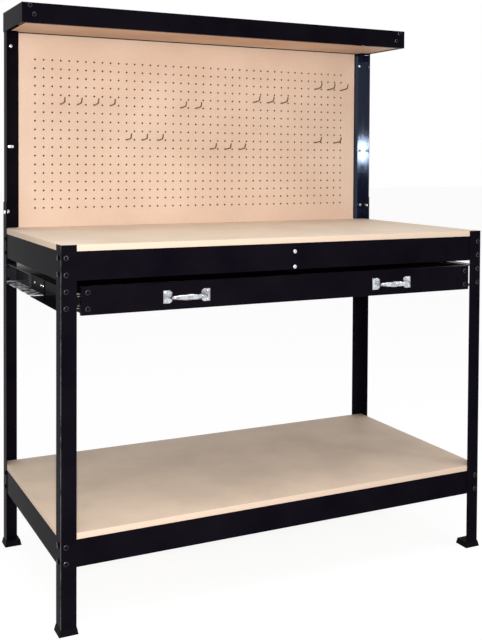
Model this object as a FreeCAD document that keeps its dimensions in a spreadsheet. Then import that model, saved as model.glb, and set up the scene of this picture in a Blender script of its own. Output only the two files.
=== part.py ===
import FreeCAD, Part
import math
import os
import Sketcher

from FreeCAD import Placement, Rotation, Vector

# Workbench with a drawer, a low shelf, a pegboard and a top shelf.
# Millimetres. X runs across the bench, the front faces -Y, Z is up from the floor.
# The frame's origin is the middle of the object's own box, on the floor.

doc = FreeCAD.newDocument("workbench")
sheet = doc.addObject("Spreadsheet::Sheet", "dims")

CELLS = [
    ("benchWidth", 1210.0),
    ("benchDepth", 605.0),
    ("benchHeight", 1505.0),
    ("worktopHeight", 900.0),
    ("shelfHeight", 234.0),
    ("rearLegRise", 74.0),
    ("legFlange", 38.0),
    ("legWall", 1.8),
    ("legCornerRadius", 2.6),
    ("sheetWall", 1.5),
    ("boardThick", 15.0),
    ("topBoardThick", 9.0),
    ("worktopRailDeep", 68.0),
    ("shelfRailDeep", 65.0),
    ("topRimDeep", 53.0),
    ("railFlange", 24.0),
    ("railLip", 10.0),
    ("foldRadius", 2.0),
    ("railWebLow", 12.0),
    ("rimLip", 12.0),
    ("rimTabWide", 39.0),
    ("rimBoltLow", 22.2),
    ("rimBoltHigh", 45.5),
    ("rimLowInset", 32.0),
    ("rimHighInset", 21.0),
    ("uprightDrop", 4.0),
    ("topShelfDeep", 229.0),
    ("footTall", 15.0),
    ("footSole", 3.0),
    ("footLip", 0.8),
    ("footFlare", 3.2),
    ("braceWide", 40.0),
    ("braceDeep", 56.0),
    ("braceShift", 4.0),
    ("pegThick", 3.2),
    ("pegPitch", 25.0),
    ("pegSideMargin", 46.5),
    ("pegTopMargin", 71.7),
    ("pegFootMargin", 55.0),
    ("pegHole", 5.5),
    ("pegSideGap", 5.0),
    ("stripWide", 46.0),
    ("stripInset", 8.0),
    ("hookWire", 4.0),
    ("hookReach", 45.0),
    ("hookBend", 7.0),
    ("hookTip", 11.0),
    ("hookTail", 11.0),
    ("carrierTall", 59.0),
    ("carrierDrop", 0.5),
    ("carrierLength", 298.0),
    ("carrierWindow", 7.2),
    ("carrierTabTall", 19.0),
    ("tongueLength", 119.0),
    ("tongueOverlap", 14.0),
    ("slideRise", 25.5),
    ("slideTall", 35.0),
    ("slideThick", 12.7),
    ("slideStart", 7.0),
    ("slideBackRoom", 98.0),
    ("slideWall", 1.2),
    ("slideTravel", 370.0),
    ("ballSize", 4.8),
    ("retainerLength", 122.0),
    ("retainerWall", 0.8),
    ("retainerGap", 0.5),
    ("innerGap", 0.928),
    ("ballCount", 4.0),
    ("drawerGap", 13.5),
    ("drawerTall", 66.5),
    ("drawerProud", 5.0),
    ("drawerEndGap", 9.0),
    ("drawerBackGap", 5.0),
    ("drawerFrontWall", 1.2),
    ("drawerFold", 14.0),
    ("drawerWall", 1.0),
    ("handleSpread", 594.0),
    ("handleLong", 122.0),
    ("handlePlateWide", 23.0),
    ("handlePlateTall", 35.0),
    ("handlePlateThick", 2.5),
    ("handleReach", 30.0),
    ("handleGrip", 16.0),
    ("handleRise", 31.5),
    ("boltHead", 11.0),
    ("boltHeadTall", 3.2),
    ("nutWide", 10.0),
    ("nutTall", 4.8),
    ("boltPitch", 38.5),
    ("boltInset", 12.5),
    ("sideBoltInset", 20.5),
    ("stripBoltInset", 21.0),
    ("carrierBoltLow", 11.0),
    ("carrierBoltHigh", 49.0),
    ("carrierScrewRise", 26.5),
    ("carrierScrewFirst", 4.0),
    ("carrierScrewSecond", 25.0),
    ("carrierScrewThird", 90.0),
    ("screwHead", 7.5),
    ("screwHeadTall", 2.4),
]
for row, (alias, value) in enumerate(CELLS, start=1):
    sheet.set("A%d" % row, alias)
    sheet.set("B%d" % row, repr(value))
    sheet.setAlias("B%d" % row, alias)
doc.recompute()


class Size:
    # A length that knows both its value and the sheet expression that gives it.
    def __init__(self, value, text):
        self.value = float(value)
        self.text = text

    def __add__(self, other):
        other = size_of(other)
        return Size(self.value + other.value, "(%s + %s)" % (self.text, other.text))

    def __radd__(self, other):
        return size_of(other) + self

    def __sub__(self, other):
        other = size_of(other)
        return Size(self.value - other.value, "(%s - %s)" % (self.text, other.text))

    def __rsub__(self, other):
        return size_of(other) - self

    def __mul__(self, other):
        other = size_of(other)
        return Size(self.value * other.value, "(%s * %s)" % (self.text, other.text))

    def __rmul__(self, other):
        return size_of(other) * self

    def __truediv__(self, other):
        other = size_of(other)
        return Size(self.value / other.value, "(%s / %s)" % (self.text, other.text))

    def __neg__(self):
        return Size(-self.value, "(0 - %s)" % self.text)


def size_of(number):
    if isinstance(number, Size):
        return number
    return Size(number, "(%s)" % repr(float(number)))


def cell(alias):
    return Size(float(sheet.get(alias)), "dims.%s" % alias)


def bind(target, prop, length):
    length = size_of(length)
    holder, _, last = prop.rpartition(".")
    if not holder:
        setattr(target, last, length.value)
    target.setExpression(prop, length.text)


W = cell("benchWidth")
D = cell("benchDepth")
H = cell("benchHeight")
WORKTOP = cell("worktopHeight")
SHELF = cell("shelfHeight")
LEG = cell("legFlange")
LEG_T = cell("legWall")
SHEET_T = cell("sheetWall")
BOARD_T = cell("boardThick")
TOP_T = cell("topBoardThick")
RIM = cell("topRimDeep")
HALF = W / 2
BOLT = cell("boltHead")
PITCH = cell("boltPitch")
INSET = cell("boltInset")
FOLD = cell("foldRadius")
worktop_rail_top = WORKTOP - BOARD_T
shelf_rail_top = SHELF - BOARD_T
rear_leg_top = WORKTOP + cell("rearLegRise")
# The drawer hangs a gap below the worktop's front rail, and its slides and carriers go with it.
DRAWER_H = cell("drawerTall")
DRAWER_Z = worktop_rail_top - cell("worktopRailDeep") - cell("drawerGap") - DRAWER_H
CARRIER_T = cell("carrierTall")
CARRIER_Z = DRAWER_Z + DRAWER_H - cell("carrierDrop") - CARRIER_T
SLIDE_Z = CARRIER_Z + cell("slideRise")
SLIDE_LONG = D - cell("slideStart") - cell("slideBackRoom")
HANDLE_Z = DRAWER_Z + cell("handleRise")

front_reach = cell("drawerProud") + cell("handleReach")
# The box runs from the handles' front to the rear nuts, and its middle is the origin.
MID_Y = (D + cell("nutTall") - front_reach) / 2

made = []


def new_body(label, x=0.0, y=0.0, z=0.0):
    body = doc.addObject("PartDesign::Body", label)
    body.Label = label
    x = size_of(x)
    y = size_of(y) - MID_Y
    z = size_of(z)
    body.Placement = Placement(Vector(x.value, y.value, z.value), Rotation())
    body.setExpression("Placement.Base.x", x.text)
    body.setExpression("Placement.Base.y", y.text)
    body.setExpression("Placement.Base.z", z.text)
    made.append(body)
    return body


def origin_plane(body, role):
    for feature in body.Origin.OriginFeatures:
        if feature.Role == role:
            return feature
    raise RuntimeError(role)


def new_sketch(body, name, role, offset=0.0):
    sketch = body.newObject("Sketcher::SketchObject", name)
    sketch.AttachmentSupport = [(origin_plane(body, role), "")]
    sketch.MapMode = "FlatFace"
    offset = size_of(offset)
    if offset.value or "dims" in offset.text:
        sketch.AttachmentOffset = Placement(Vector(0, 0, offset.value), Rotation())
        sketch.setExpression("AttachmentOffset.Base.z", offset.text)
    return sketch


def fix_point(sketch, geo, pos, x, y):
    x = size_of(x)
    y = size_of(y)
    number = sketch.addConstraint(Sketcher.Constraint("DistanceX", -1, 1, geo, pos, x.value))
    sketch.setExpression("Constraints[%d]" % number, x.text)
    number = sketch.addConstraint(Sketcher.Constraint("DistanceY", -1, 1, geo, pos, y.value))
    sketch.setExpression("Constraints[%d]" % number, y.text)


def draw_polygon(sketch, points):
    base = sketch.GeometryCount
    spots = [Vector(size_of(x).value, size_of(y).value, 0) for x, y in points]
    count = len(spots)
    for i in range(count):
        sketch.addGeometry(Part.LineSegment(spots[i], spots[(i + 1) % count]), False)
    for i in range(count):
        after = base + (i + 1) % count
        sketch.addConstraint(Sketcher.Constraint("Coincident", base + i, 2, after, 1))
    for i, (x, y) in enumerate(points):
        fix_point(sketch, base + i, 1, x, y)


def pad(body, name, role, points, length, offset=0.0, reverse=False, taper=None):
    sketch = new_sketch(body, name + "_outline", role, offset)
    draw_polygon(sketch, points)
    feature = body.newObject("PartDesign::Pad", name)
    feature.Profile = sketch
    bind(feature, "Length", length)
    feature.Reversed = reverse
    if taper is not None:
        feature.TaperAngle = taper.value
        feature.setExpression("TaperAngle", taper.text)
    sketch.Visibility = False
    body.Tip = feature
    return feature


def pocket(body, name, role, points, length, offset=0.0, reverse=False):
    sketch = new_sketch(body, name + "_outline", role, offset)
    draw_polygon(sketch, points)
    feature = body.newObject("PartDesign::Pocket", name)
    feature.Profile = sketch
    bind(feature, "Length", length)
    feature.Reversed = reverse
    body.Tip = feature
    return feature


def round_edges(body, name, radius, wanted):
    doc.recompute()
    feature = body.Tip
    names = []
    for number, edge in enumerate(feature.Shape.Edges, start=1):
        if wanted(edge):
            names.append("Edge%d" % number)
    fillet = body.newObject("PartDesign::Fillet", name)
    fillet.Base = (feature, names)
    bind(fillet, "Radius", radius)
    body.Tip = fillet
    return fillet


def round_folds(body, name, radius, axis, spots):
    # Rounds the outer corner of each fold: long edges along one axis, at local points.
    def wanted(edge):
        box = edge.BoundBox
        span = (box.XLength, box.YLength, box.ZLength)["XYZ".index(axis)]
        if span < 20 or span < max(box.XLength, box.YLength, box.ZLength) - 0.01:
            return False
        spot = {"X": (box.Center.y, box.Center.z), "Y": (box.Center.x, box.Center.z),
                "Z": (box.Center.x, box.Center.y)}[axis]
        for across, up in spots:
            near = abs(spot[0] - size_of(across).value) + abs(spot[1] - size_of(up).value)
            if near < 0.01:
                return True
        return False

    return round_edges(body, name, radius, wanted)


def ngon(x, y, across, sides=8):
    # Corners of a regular polygon measured across its flats, one flat facing down.
    reach = 0.5 / math.cos(math.pi / sides)
    points = []
    for i in range(sides):
        angle = 2 * math.pi * (i + 0.5) / sides
        points.append((
            size_of(x) + size_of(across) * round(reach * math.cos(angle), 6),
            size_of(y) + size_of(across) * round(reach * math.sin(angle), 6),
        ))
    return points


def repeat(body, name, feature, role, length, count):
    # Repeats one feature in a row along an axis of its body.
    pattern = body.newObject("PartDesign::LinearPattern", name)
    pattern.Originals = [feature]
    pattern.Direction = (origin_plane(body, role), [""])
    bind(pattern, "Length", length)
    pattern.Occurrences = count
    body.Tip = pattern
    return pattern


def sided(side, inset):
    # Distance in from the left (-1) or right (+1) outer face, as a local X.
    return size_of(inset) * (-side)


def place_feature(label, shape, x=0.0, y=0.0, z=0.0):
    feature = doc.addObject("Part::Feature", label)
    feature.Label = label
    feature.Shape = shape
    feature.Placement = Placement(Vector(x, y, z), Rotation())
    made.append(feature)
    return feature


# Legs: angle sections, the fold outwards, each standing in a foot.

def make_leg(label, side, rear, height):
    y = D if rear else 0.0
    depth = -1 if rear else 1
    body = new_body(label, HALF * side, y, cell("footSole"))
    points = [
        (0.0, 0.0),
        (sided(side, LEG), 0.0),
        (sided(side, LEG), LEG_T * depth),
        (sided(side, LEG_T), LEG_T * depth),
        (sided(side, LEG_T), LEG * depth),
        (0.0, LEG * depth),
    ]
    pad(body, label + "_angle", "XY_Plane", points, height - cell("footSole"))
    round_folds(body, label + "_fold", cell("legCornerRadius"), "Z", [(0.0, 0.0)])
    return body


make_leg("front_left_leg", -1, False, WORKTOP)
make_leg("front_right_leg", 1, False, WORKTOP)
make_leg("rear_left_leg", -1, True, rear_leg_top)
make_leg("rear_right_leg", 1, True, rear_leg_top)


# Feet: square plastic shoes that flare to the floor, with a slot for the angle.

def make_foot(label, side, rear):
    y = D if rear else 0.0
    depth = -1 if rear else 1
    lip = cell("footLip")
    body = new_body(label, HALF * side, y, 0.0)
    points = [
        (sided(side, -lip), lip * -depth),
        (sided(side, LEG + lip), lip * -depth),
        (sided(side, LEG + lip), (LEG + lip) * depth),
        (sided(side, -lip), (LEG + lip) * depth),
    ]
    # Drawn at the top and grown downwards, so that the shoe spreads at the floor.
    slope = math.degrees(math.atan(cell("footFlare").value / cell("footTall").value))
    pad(body, label + "_shoe", "XY_Plane", points, cell("footTall"), offset=cell("footTall"),
        reverse=True, taper=Size(slope, "atan(dims.footFlare / dims.footTall)"))
    slot = [
        (0.0, 0.0),
        (sided(side, LEG), 0.0),
        (sided(side, LEG), LEG_T * depth),
        (sided(side, LEG_T), LEG_T * depth),
        (sided(side, LEG_T), LEG * depth),
        (0.0, LEG * depth),
    ]
    pocket(body, label + "_slot", "XY_Plane", slot, cell("footTall") - cell("footSole"),
           offset=cell("footTall"))
    return body


make_foot("front_left_foot", -1, False)
make_foot("front_right_foot", 1, False)
make_foot("rear_left_foot", -1, True)
make_foot("rear_right_foot", 1, True)


# Uprights: angles nested inside the rear legs, from the worktop to the top shelf.

def make_upright(label, side):
    body = new_body(label, (HALF - LEG_T) * side, D - LEG_T, WORKTOP)
    points = [
        (0.0, 0.0),
        (sided(side, LEG - LEG_T), 0.0),
        (sided(side, LEG - LEG_T), -SHEET_T),
        (sided(side, SHEET_T), -SHEET_T),
        (sided(side, SHEET_T), LEG_T - LEG),
        (0.0, LEG_T - LEG),
    ]
    pad(body, label + "_angle", "XY_Plane", points, H - WORKTOP - cell("uprightDrop"))
    round_folds(body, label + "_fold", FOLD, "Z", [(0.0, 0.0)])
    return body


make_upright("left_upright", -1)
make_upright("right_upright", 1)


# Rails: folded channels with the top flange under the board and a small lip below.

def long_rail(label, rear, top, deep):
    # Runs across the bench between the legs.
    y = D - LEG_T if rear else LEG_T
    depth = -1 if rear else 1
    flange = cell("railFlange")
    lip = cell("railLip")
    body = new_body(label, LEG_T - HALF, y, top - deep)
    points = [
        (0.0, 0.0),
        (lip * depth, 0.0),
        (lip * depth, SHEET_T),
        (SHEET_T * depth, SHEET_T),
        (SHEET_T * depth, deep - SHEET_T),
        (flange * depth, deep - SHEET_T),
        (flange * depth, deep),
        (0.0, deep),
    ]
    pad(body, label + "_section", "YZ_Plane", points, W - LEG_T * 2)
    round_folds(body, label + "_folds", FOLD, "X", [(0.0, 0.0), (0.0, deep)])
    return body


def side_rail(label, side, top, deep):
    # Runs front to back between the two long rails.
    flange = cell("railFlange")
    lip = cell("railLip")
    start = LEG_T + flange + 0.2
    body = new_body(label, (HALF - LEG_T) * side, start, top - deep)
    points = [
        (0.0, 0.0),
        (sided(side, lip), 0.0),
        (sided(side, lip), SHEET_T),
        (sided(side, SHEET_T), SHEET_T),
        (sided(side, SHEET_T), deep - SHEET_T),
        (sided(side, flange), deep - SHEET_T),
        (sided(side, flange), deep),
        (0.0, deep),
    ]
    pad(body, label + "_section", "XZ_Plane", points, D - start * 2, reverse=True)
    round_folds(body, label + "_folds", FOLD, "Y", [(0.0, 0.0), (0.0, deep)])
    # The bolted ends of the web reach on into the corners, inside the long rails.
    low = cell("railWebLow")
    web = [
        (sided(side, 0.0), low),
        (sided(side, SHEET_T), low),
        (sided(side, SHEET_T), deep - SHEET_T - 1.0),
        (sided(side, 0.0), deep - SHEET_T - 1.0),
    ]
    reach = flange + 0.2 - SHEET_T
    pad(body, label + "_front_end", "XZ_Plane", web, reach)
    pad(body, label + "_rear_end", "XZ_Plane", web, reach, offset=-(D - start * 2), reverse=True)
    return body


long_rail("worktop_front_rail", False, worktop_rail_top, cell("worktopRailDeep"))
long_rail("worktop_rear_rail", True, worktop_rail_top, cell("worktopRailDeep"))
side_rail("worktop_left_rail", -1, worktop_rail_top, cell("worktopRailDeep"))
side_rail("worktop_right_rail", 1, worktop_rail_top, cell("worktopRailDeep"))
long_rail("shelf_front_rail", False, shelf_rail_top, cell("shelfRailDeep"))
long_rail("shelf_rear_rail", True, shelf_rail_top, cell("shelfRailDeep"))
side_rail("shelf_left_rail", -1, shelf_rail_top, cell("shelfRailDeep"))
side_rail("shelf_right_rail", 1, shelf_rail_top, cell("shelfRailDeep"))


# Boards: pressed board lying on the rails' top flanges, inside the legs.

def make_board(label, top):
    body = new_body(label, 0.0, 0.0, top - BOARD_T)
    edge = HALF - LEG_T
    points = [(-edge, LEG_T), (edge, LEG_T), (edge, D - LEG_T), (-edge, D - LEG_T)]
    pad(body, label + "_panel", "XY_Plane", points, BOARD_T)
    return body


make_board("worktop_board", WORKTOP)
make_board("shelf_board", SHELF)


# Braces: upturned channels across the middle of each board, from rail to rail.

def make_brace(label, top):
    half = cell("braceWide") / 2
    deep = cell("braceDeep")
    start = LEG_T + SHEET_T
    body = new_body(label, cell("braceShift"), start, top - deep - SHEET_T)
    points = [
        (-half, 0.0),
        (SHEET_T - half, 0.0),
        (SHEET_T - half, deep - SHEET_T),
        (half - SHEET_T, deep - SHEET_T),
        (half - SHEET_T, 0.0),
        (half, 0.0),
        (half, deep),
        (-half, deep),
    ]
    pad(body, label + "_channel", "XZ_Plane", points, D - start * 2, reverse=True)
    end = [
        (SHEET_T - half, 0.0),
        (half - SHEET_T, 0.0),
        (half - SHEET_T, deep - SHEET_T),
        (SHEET_T - half, deep - SHEET_T),
    ]
    pad(body, label + "_front_tab", "XZ_Plane", end, SHEET_T, reverse=True)
    pad(body, label + "_rear_tab", "XZ_Plane", end, SHEET_T, offset=-(D - start * 2))
    return body


make_brace("worktop_brace", worktop_rail_top)
make_brace("shelf_brace", shelf_rail_top)


# Top shelf: a rim of folded angles with a bottom lip that carries a thin board.

rim_front = D - cell("topShelfDeep")
# The side rims lie on the uprights' outer faces.
rim_inner = HALF - LEG_T
rim_x = rim_inner + SHEET_T
rim_z = H - RIM
rim_lip = cell("rimLip")


def rim_long(label, rear):
    y = D - LEG_T - SHEET_T if rear else rim_front
    depth = -1 if rear else 1
    reach = rim_inner - SHEET_T - 0.2 if rear else rim_inner
    body = new_body(label, -reach, y, rim_z)
    points = [
        (0.0, 0.0),
        (rim_lip * depth, 0.0),
        (rim_lip * depth, SHEET_T),
        (SHEET_T * depth, SHEET_T),
        (SHEET_T * depth, RIM),
        (0.0, RIM),
    ]
    pad(body, label + "_section", "YZ_Plane", points, reach * 2)
    return body


def rim_side(label, side):
    body = new_body(label, rim_x * side, rim_front, rim_z)
    length = cell("topShelfDeep") - LEG_T
    web = [
        (0.0, 0.0),
        (sided(side, SHEET_T), 0.0),
        (sided(side, SHEET_T), RIM),
        (0.0, RIM),
    ]
    pad(body, label + "_web", "XZ_Plane", web, length, reverse=True)
    start = rim_lip + 0.2
    lip = [
        (sided(side, 0.0), start),
        (sided(side, rim_lip), start),
        (sided(side, rim_lip), length - LEG - 2.0),
        (sided(side, 0.0), length - LEG - 2.0),
    ]
    pad(body, label + "_lip", "XY_Plane", lip, SHEET_T)
    # A tab folded in behind the front rim takes the two corner bolts.
    tab_low = SHEET_T + 0.3
    tab = [
        (sided(side, 0.0), tab_low),
        (sided(side, cell("rimTabWide")), tab_low),
        (sided(side, cell("rimTabWide")), RIM - 1.0),
        (sided(side, 0.0), RIM - 1.0),
    ]
    pad(body, label + "_tab", "XZ_Plane", tab, SHEET_T, offset=-SHEET_T, reverse=True)
    return body


rim_long("top_front_rim", False)
rim_long("top_rear_rim", True)
rim_side("top_left_rim", -1)
rim_side("top_right_rim", 1)

board_top = new_body("top_board", 0.0, rim_front, rim_z + SHEET_T)
top_edge = rim_inner
top_deep = cell("topShelfDeep") - LEG_T - SHEET_T * 2
notch_x = HALF - LEG - 0.3
notch_y = cell("topShelfDeep") - LEG - 0.3
# The front corners are cut back round the side rims' tabs and their nuts.
tab_x = rim_x - cell("rimTabWide") - 0.3
tab_y = SHEET_T * 2 + cell("nutTall") + 0.3
pad(board_top, "top_board_panel", "XY_Plane", [
    (-top_edge, tab_y),
    (-tab_x, tab_y),
    (-tab_x, SHEET_T),
    (tab_x, SHEET_T),
    (tab_x, tab_y),
    (top_edge, tab_y),
    (top_edge, notch_y),
    (notch_x, notch_y),
    (notch_x, top_deep),
    (-notch_x, top_deep),
    (-notch_x, notch_y),
    (-top_edge, notch_y),
], TOP_T)


# Pegboard: one sheet standing on the worktop between the uprights.

peg_half = HALF - LEG - cell("pegSideGap")
peg_y = D - LEG_T - cell("pegThick")
peg_tall = H - RIM - WORKTOP - 0.3
peg_left = cell("pegSideMargin") - peg_half
peg_top = peg_tall - cell("pegTopMargin")
# The grid has as many holes as the sheet has room for between its margins.
peg_columns = int((peg_half.value * 2 - cell("pegSideMargin").value * 2) / cell("pegPitch").value) + 1
peg_rows = int((peg_top.value - cell("pegFootMargin").value) / cell("pegPitch").value + 0.001) + 1
# Each group of hooks: first column and row from the top left, step in columns, count.
# They are read off a grid of 42 by 18 holes, and keep their share of the way on any other.
READ_COLUMNS = 42
READ_ROWS = 18
HOOKS = {
    "hooks_upper_left": (3, 5, 2, 4),
    "hooks_lower_left": (11, 9, 2, 3),
    "hooks_upper_middle": (18, 5, 2, 2),
    "hooks_lower_middle": (22, 10, 2, 3),
    "hooks_upper_right": (28, 4, 2, 3),
    "hooks_top_right": (37, 2, 2, 3),
    "hooks_lower_right": (37, 9, 3, 2),
}
pegboard = new_body("pegboard", 0.0, peg_y, WORKTOP)
pad(pegboard, "pegboard_sheet", "XZ_Plane", [
    (-peg_half, 0.0),
    (peg_half, 0.0),
    (peg_half, peg_tall),
    (-peg_half, peg_tall),
], cell("pegThick"), reverse=True)
for label, (column, line, step, count) in HOOKS.items():
    extra = step * (count - 1)
    column = round(column * (peg_columns - 1 - extra) / (READ_COLUMNS - 1 - extra))
    line = round(line * (peg_rows - 1) / (READ_ROWS - 1))
    HOOKS[label] = (column, line, step, count)
    hole_x = peg_left + cell("pegPitch") * column
    hole_z = peg_top - cell("pegPitch") * line
    hole = pocket(pegboard, label + "_hole", "XZ_Plane", ngon(hole_x, hole_z, cell("pegHole")),
                  cell("pegThick") + 2.0, offset=1.0)
    span = cell("pegPitch") * (step * (count - 1))
    repeat(pegboard, label + "_holes", hole, "X_Axis", span, count)


# Strips: flat bars behind the pegboard's side edges, bolted to the uprights.

def make_strip(label, side):
    low = rear_leg_top + 2.0
    body = new_body(label, (HALF - LEG_T - cell("stripInset")) * side, D - LEG_T, low)
    wide = cell("stripWide")
    pad(body, label + "_bar", "XY_Plane", [
        (0.0, 0.0),
        (sided(side, wide), 0.0),
        (sided(side, wide), SHEET_T),
        (0.0, SHEET_T),
    ], H - RIM - low - 2.0)
    return body


# Slide carriers: front channels that hook on to the front legs, and rear ones behind.

web_in = LEG - SHEET_T
carrier_outer = LEG_T + 1.7


def make_front_carrier(label, side):
    body = new_body(label, HALF * side, LEG_T, CARRIER_Z)
    outer = carrier_outer
    inner = web_in + SHEET_T
    section = [
        (sided(side, outer), 0.0),
        (sided(side, inner), 0.0),
        (sided(side, inner), CARRIER_T),
        (sided(side, outer), CARRIER_T),
        (sided(side, outer), CARRIER_T - SHEET_T),
        (sided(side, web_in), CARRIER_T - SHEET_T),
        (sided(side, web_in), SHEET_T),
        (sided(side, outer), SHEET_T),
    ]
    pad(body, label + "_channel", "XZ_Plane", section, cell("carrierLength"), reverse=True)
    # A tongue on the web's outer face reaches on over the rear carrier and is screwed to it.
    tongue = [
        (sided(side, web_in - SHEET_T), SHEET_T * 2 + 1.0),
        (sided(side, web_in), SHEET_T * 2 + 1.0),
        (sided(side, web_in), CARRIER_T - SHEET_T * 2 - 1.0),
        (sided(side, web_in - SHEET_T), CARRIER_T - SHEET_T * 2 - 1.0),
    ]
    overlap = cell("tongueOverlap")
    pad(body, label + "_tongue", "XZ_Plane", tongue, cell("tongueLength") + overlap,
        offset=overlap - cell("carrierLength"), reverse=True)
    # The web stops short of the leg, which leaves the gap seen beside the drawer.
    gap = [
        (sided(side, web_in - 0.5), SHEET_T),
        (sided(side, inner + 1.0), SHEET_T),
        (sided(side, inner + 1.0), CARRIER_T - SHEET_T),
        (sided(side, web_in - 0.5), CARRIER_T - SHEET_T),
    ]
    pocket(body, label + "_gap", "XZ_Plane", gap, cell("carrierWindow"), offset=1.0)
    tab_x0 = sided(side, outer)
    tab_x1 = sided(side, LEG - 10.0)
    tab_tall = cell("carrierTabTall")
    for name, low in (("upper", CARRIER_T - tab_tall), ("lower", size_of(0.0))):
        tab = [(tab_x0, low), (tab_x1, low), (tab_x1, low + tab_tall), (tab_x0, low + tab_tall)]
        pad(body, "%s_%s_tab" % (label, name), "XZ_Plane", tab, SHEET_T, reverse=True)
    round_folds(body, label + "_folds", FOLD, "Y", [
        (sided(side, inner), 0.0),
        (sided(side, inner), CARRIER_T),
    ])
    return body


def make_rear_carrier(label, side):
    start = LEG_T + cell("carrierLength") + 1.0
    body = new_body(label, HALF * side, start, CARRIER_Z + SHEET_T)
    length = D - LEG_T - start
    tall = CARRIER_T - SHEET_T * 2
    outer = carrier_outer
    web0 = LEG - SHEET_T
    section = [
        (sided(side, outer), 0.0),
        (sided(side, LEG), 0.0),
        (sided(side, LEG), tall),
        (sided(side, outer), tall),
        (sided(side, outer), tall - SHEET_T),
        (sided(side, web0), tall - SHEET_T),
        (sided(side, web0), SHEET_T),
        (sided(side, outer), SHEET_T),
    ]
    pad(body, label + "_channel", "XZ_Plane", section, length, reverse=True)
    tab = [
        (sided(side, outer), 0.0),
        (sided(side, web0), 0.0),
        (sided(side, web0), tall),
        (sided(side, outer), tall),
    ]
    pad(body, label + "_rear_tab", "XZ_Plane", tab, SHEET_T, offset=-length)
    return body


# Slides: rolled outer and inner members, with a punched retainer that carries the balls.
# Section coordinates: u from the carrier's face towards the drawer, v up from the middle.

SL_T = cell("slideWall")
SL_H = cell("slideTall") / 2
SL_U = cell("slideThick")
BALL = cell("ballSize")
# The retainer's web clears the outer member's, and the inner member's edges clear the retainer.
RETAINER_U = SL_T + cell("retainerGap")
RETAINER_T = cell("retainerWall")
INNER_U = RETAINER_U + RETAINER_T + cell("innerGap")
SLIDE_X = HALF - LEG
ball_u = SL_U * 0.44
ball_v = SL_H - SL_T - 0.05 - BALL / 2


def make_slide_outer(label, side):
    body = new_body(label, SLIDE_X * side, cell("slideStart"), SLIDE_Z)
    lip_u = SL_U - 2.9
    lip_v = SL_H - 2.9
    section = [
        (0.0, -SL_H),
        (sided(side, lip_u), -SL_H),
        (sided(side, lip_u), -lip_v),
        (sided(side, lip_u - SL_T), -lip_v),
        (sided(side, lip_u - SL_T), SL_T - SL_H),
        (sided(side, SL_T), SL_T - SL_H),
        (sided(side, SL_T), SL_H - SL_T),
        (sided(side, lip_u - SL_T), SL_H - SL_T),
        (sided(side, lip_u - SL_T), lip_v),
        (sided(side, lip_u), lip_v),
        (sided(side, lip_u), SL_H),
        (0.0, SL_H),
    ]
    pad(body, label + "_profile", "XZ_Plane", section, SLIDE_LONG, reverse=True)

    def rolled(edge):
        box = edge.BoundBox
        long_edge = box.YLength > 50
        far = abs(abs(box.Center.z) - SL_H.value) < 0.01
        return long_edge and far

    round_edges(body, label + "_rolled", 0.9, rolled)
    return body


def make_slide_inner(label, side):
    body = new_body(label, SLIDE_X * side, cell("slideStart"), SLIDE_Z)
    top = SL_H - SL_T - 0.1 - BALL
    near = INNER_U
    section = [
        (sided(side, near), -top),
        (sided(side, SL_U), -top),
        (sided(side, SL_U), top),
        (sided(side, near), top),
        (sided(side, near), top - SL_T),
        (sided(side, SL_U - SL_T), top - SL_T),
        (sided(side, SL_U - SL_T), SL_T - top),
        (sided(side, near), SL_T - top),
    ]
    pad(body, label + "_profile", "XZ_Plane", section, SLIDE_LONG, reverse=True)
    return body


RETAINER_SHIFT = cell("slideTravel") / 2
retainer_start = cell("slideStart") + 3.0 + RETAINER_SHIFT


def ball_shape(diameter, middle):
    # Three crossed octagonal bars meet in a ball of eighteen flats.
    bars = []
    for axis in (Vector(0, 0, 1), Vector(0, 1, 0), Vector(1, 0, 0)):
        reach = diameter / 2 / math.cos(math.pi / 8)
        corners = []
        for i in range(9):
            angle = 2 * math.pi * (i + 0.5) / 8
            corners.append(Vector(reach * math.cos(angle), reach * math.sin(angle), -diameter))
        bar = Part.Face(Part.makePolygon(corners)).extrude(Vector(0, 0, diameter * 2))
        bar.Placement = Placement(Vector(0, 0, 0), Rotation(Vector(0, 0, 1), axis))
        bars.append(bar)
    ball = bars[0].common(bars[1]).common(bars[2]).Solids[0]
    ball.translate(middle)
    return ball


def make_retainer(label, side):
    # The strip is a thin channel between the members, punched for the balls.
    body = doc.addObject("PartDesign::Body", label + "_strip")
    body.Placement = Placement(Vector(0, 0, 0), Rotation())
    web = RETAINER_U
    arm_low = ball_v - RETAINER_T / 2
    arm_high = ball_v + RETAINER_T / 2
    reach = ball_u + BALL * 0.5 + 0.5
    section = [
        (sided(side, web), -arm_high),
        (sided(side, reach), -arm_high),
        (sided(side, reach), -arm_low),
        (sided(side, web + RETAINER_T), -arm_low),
        (sided(side, web + RETAINER_T), arm_low),
        (sided(side, reach), arm_low),
        (sided(side, reach), arm_high),
        (sided(side, web), arm_high),
    ]
    pad(body, label + "_channel", "XZ_Plane", section, cell("retainerLength"), reverse=True)
    count = int(round(cell("ballCount").value))
    step = cell("retainerLength") / count
    seat = pocket(body, label + "_punched", "XY_Plane",
                  ngon(sided(side, ball_u), step * 0.5, BALL + 0.2), cell("slideTall"), offset=SL_H)
    repeat(body, label + "_seats", seat, "Y_Axis", step * (count - 1), count)
    doc.recompute()
    solids = [body.Shape.Solids[0]]
    for i in range(count):
        for direction in (-1, 1):
            middle = Vector(
                sided(side, ball_u).value,
                (step * (i + 0.5)).value,
                ball_v.value * direction,
            )
            solids.append(ball_shape(BALL.value, middle))
    feature = place_feature(label, Part.makeCompound(solids))
    where = (
        SLIDE_X.value * side,
        (retainer_start - MID_Y).value,
        SLIDE_Z.value,
    )
    feature.Placement = Placement(Vector(*where), Rotation())
    return feature


# Drawer: folded sheet steel, its box between the slides and its front between the legs.

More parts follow.
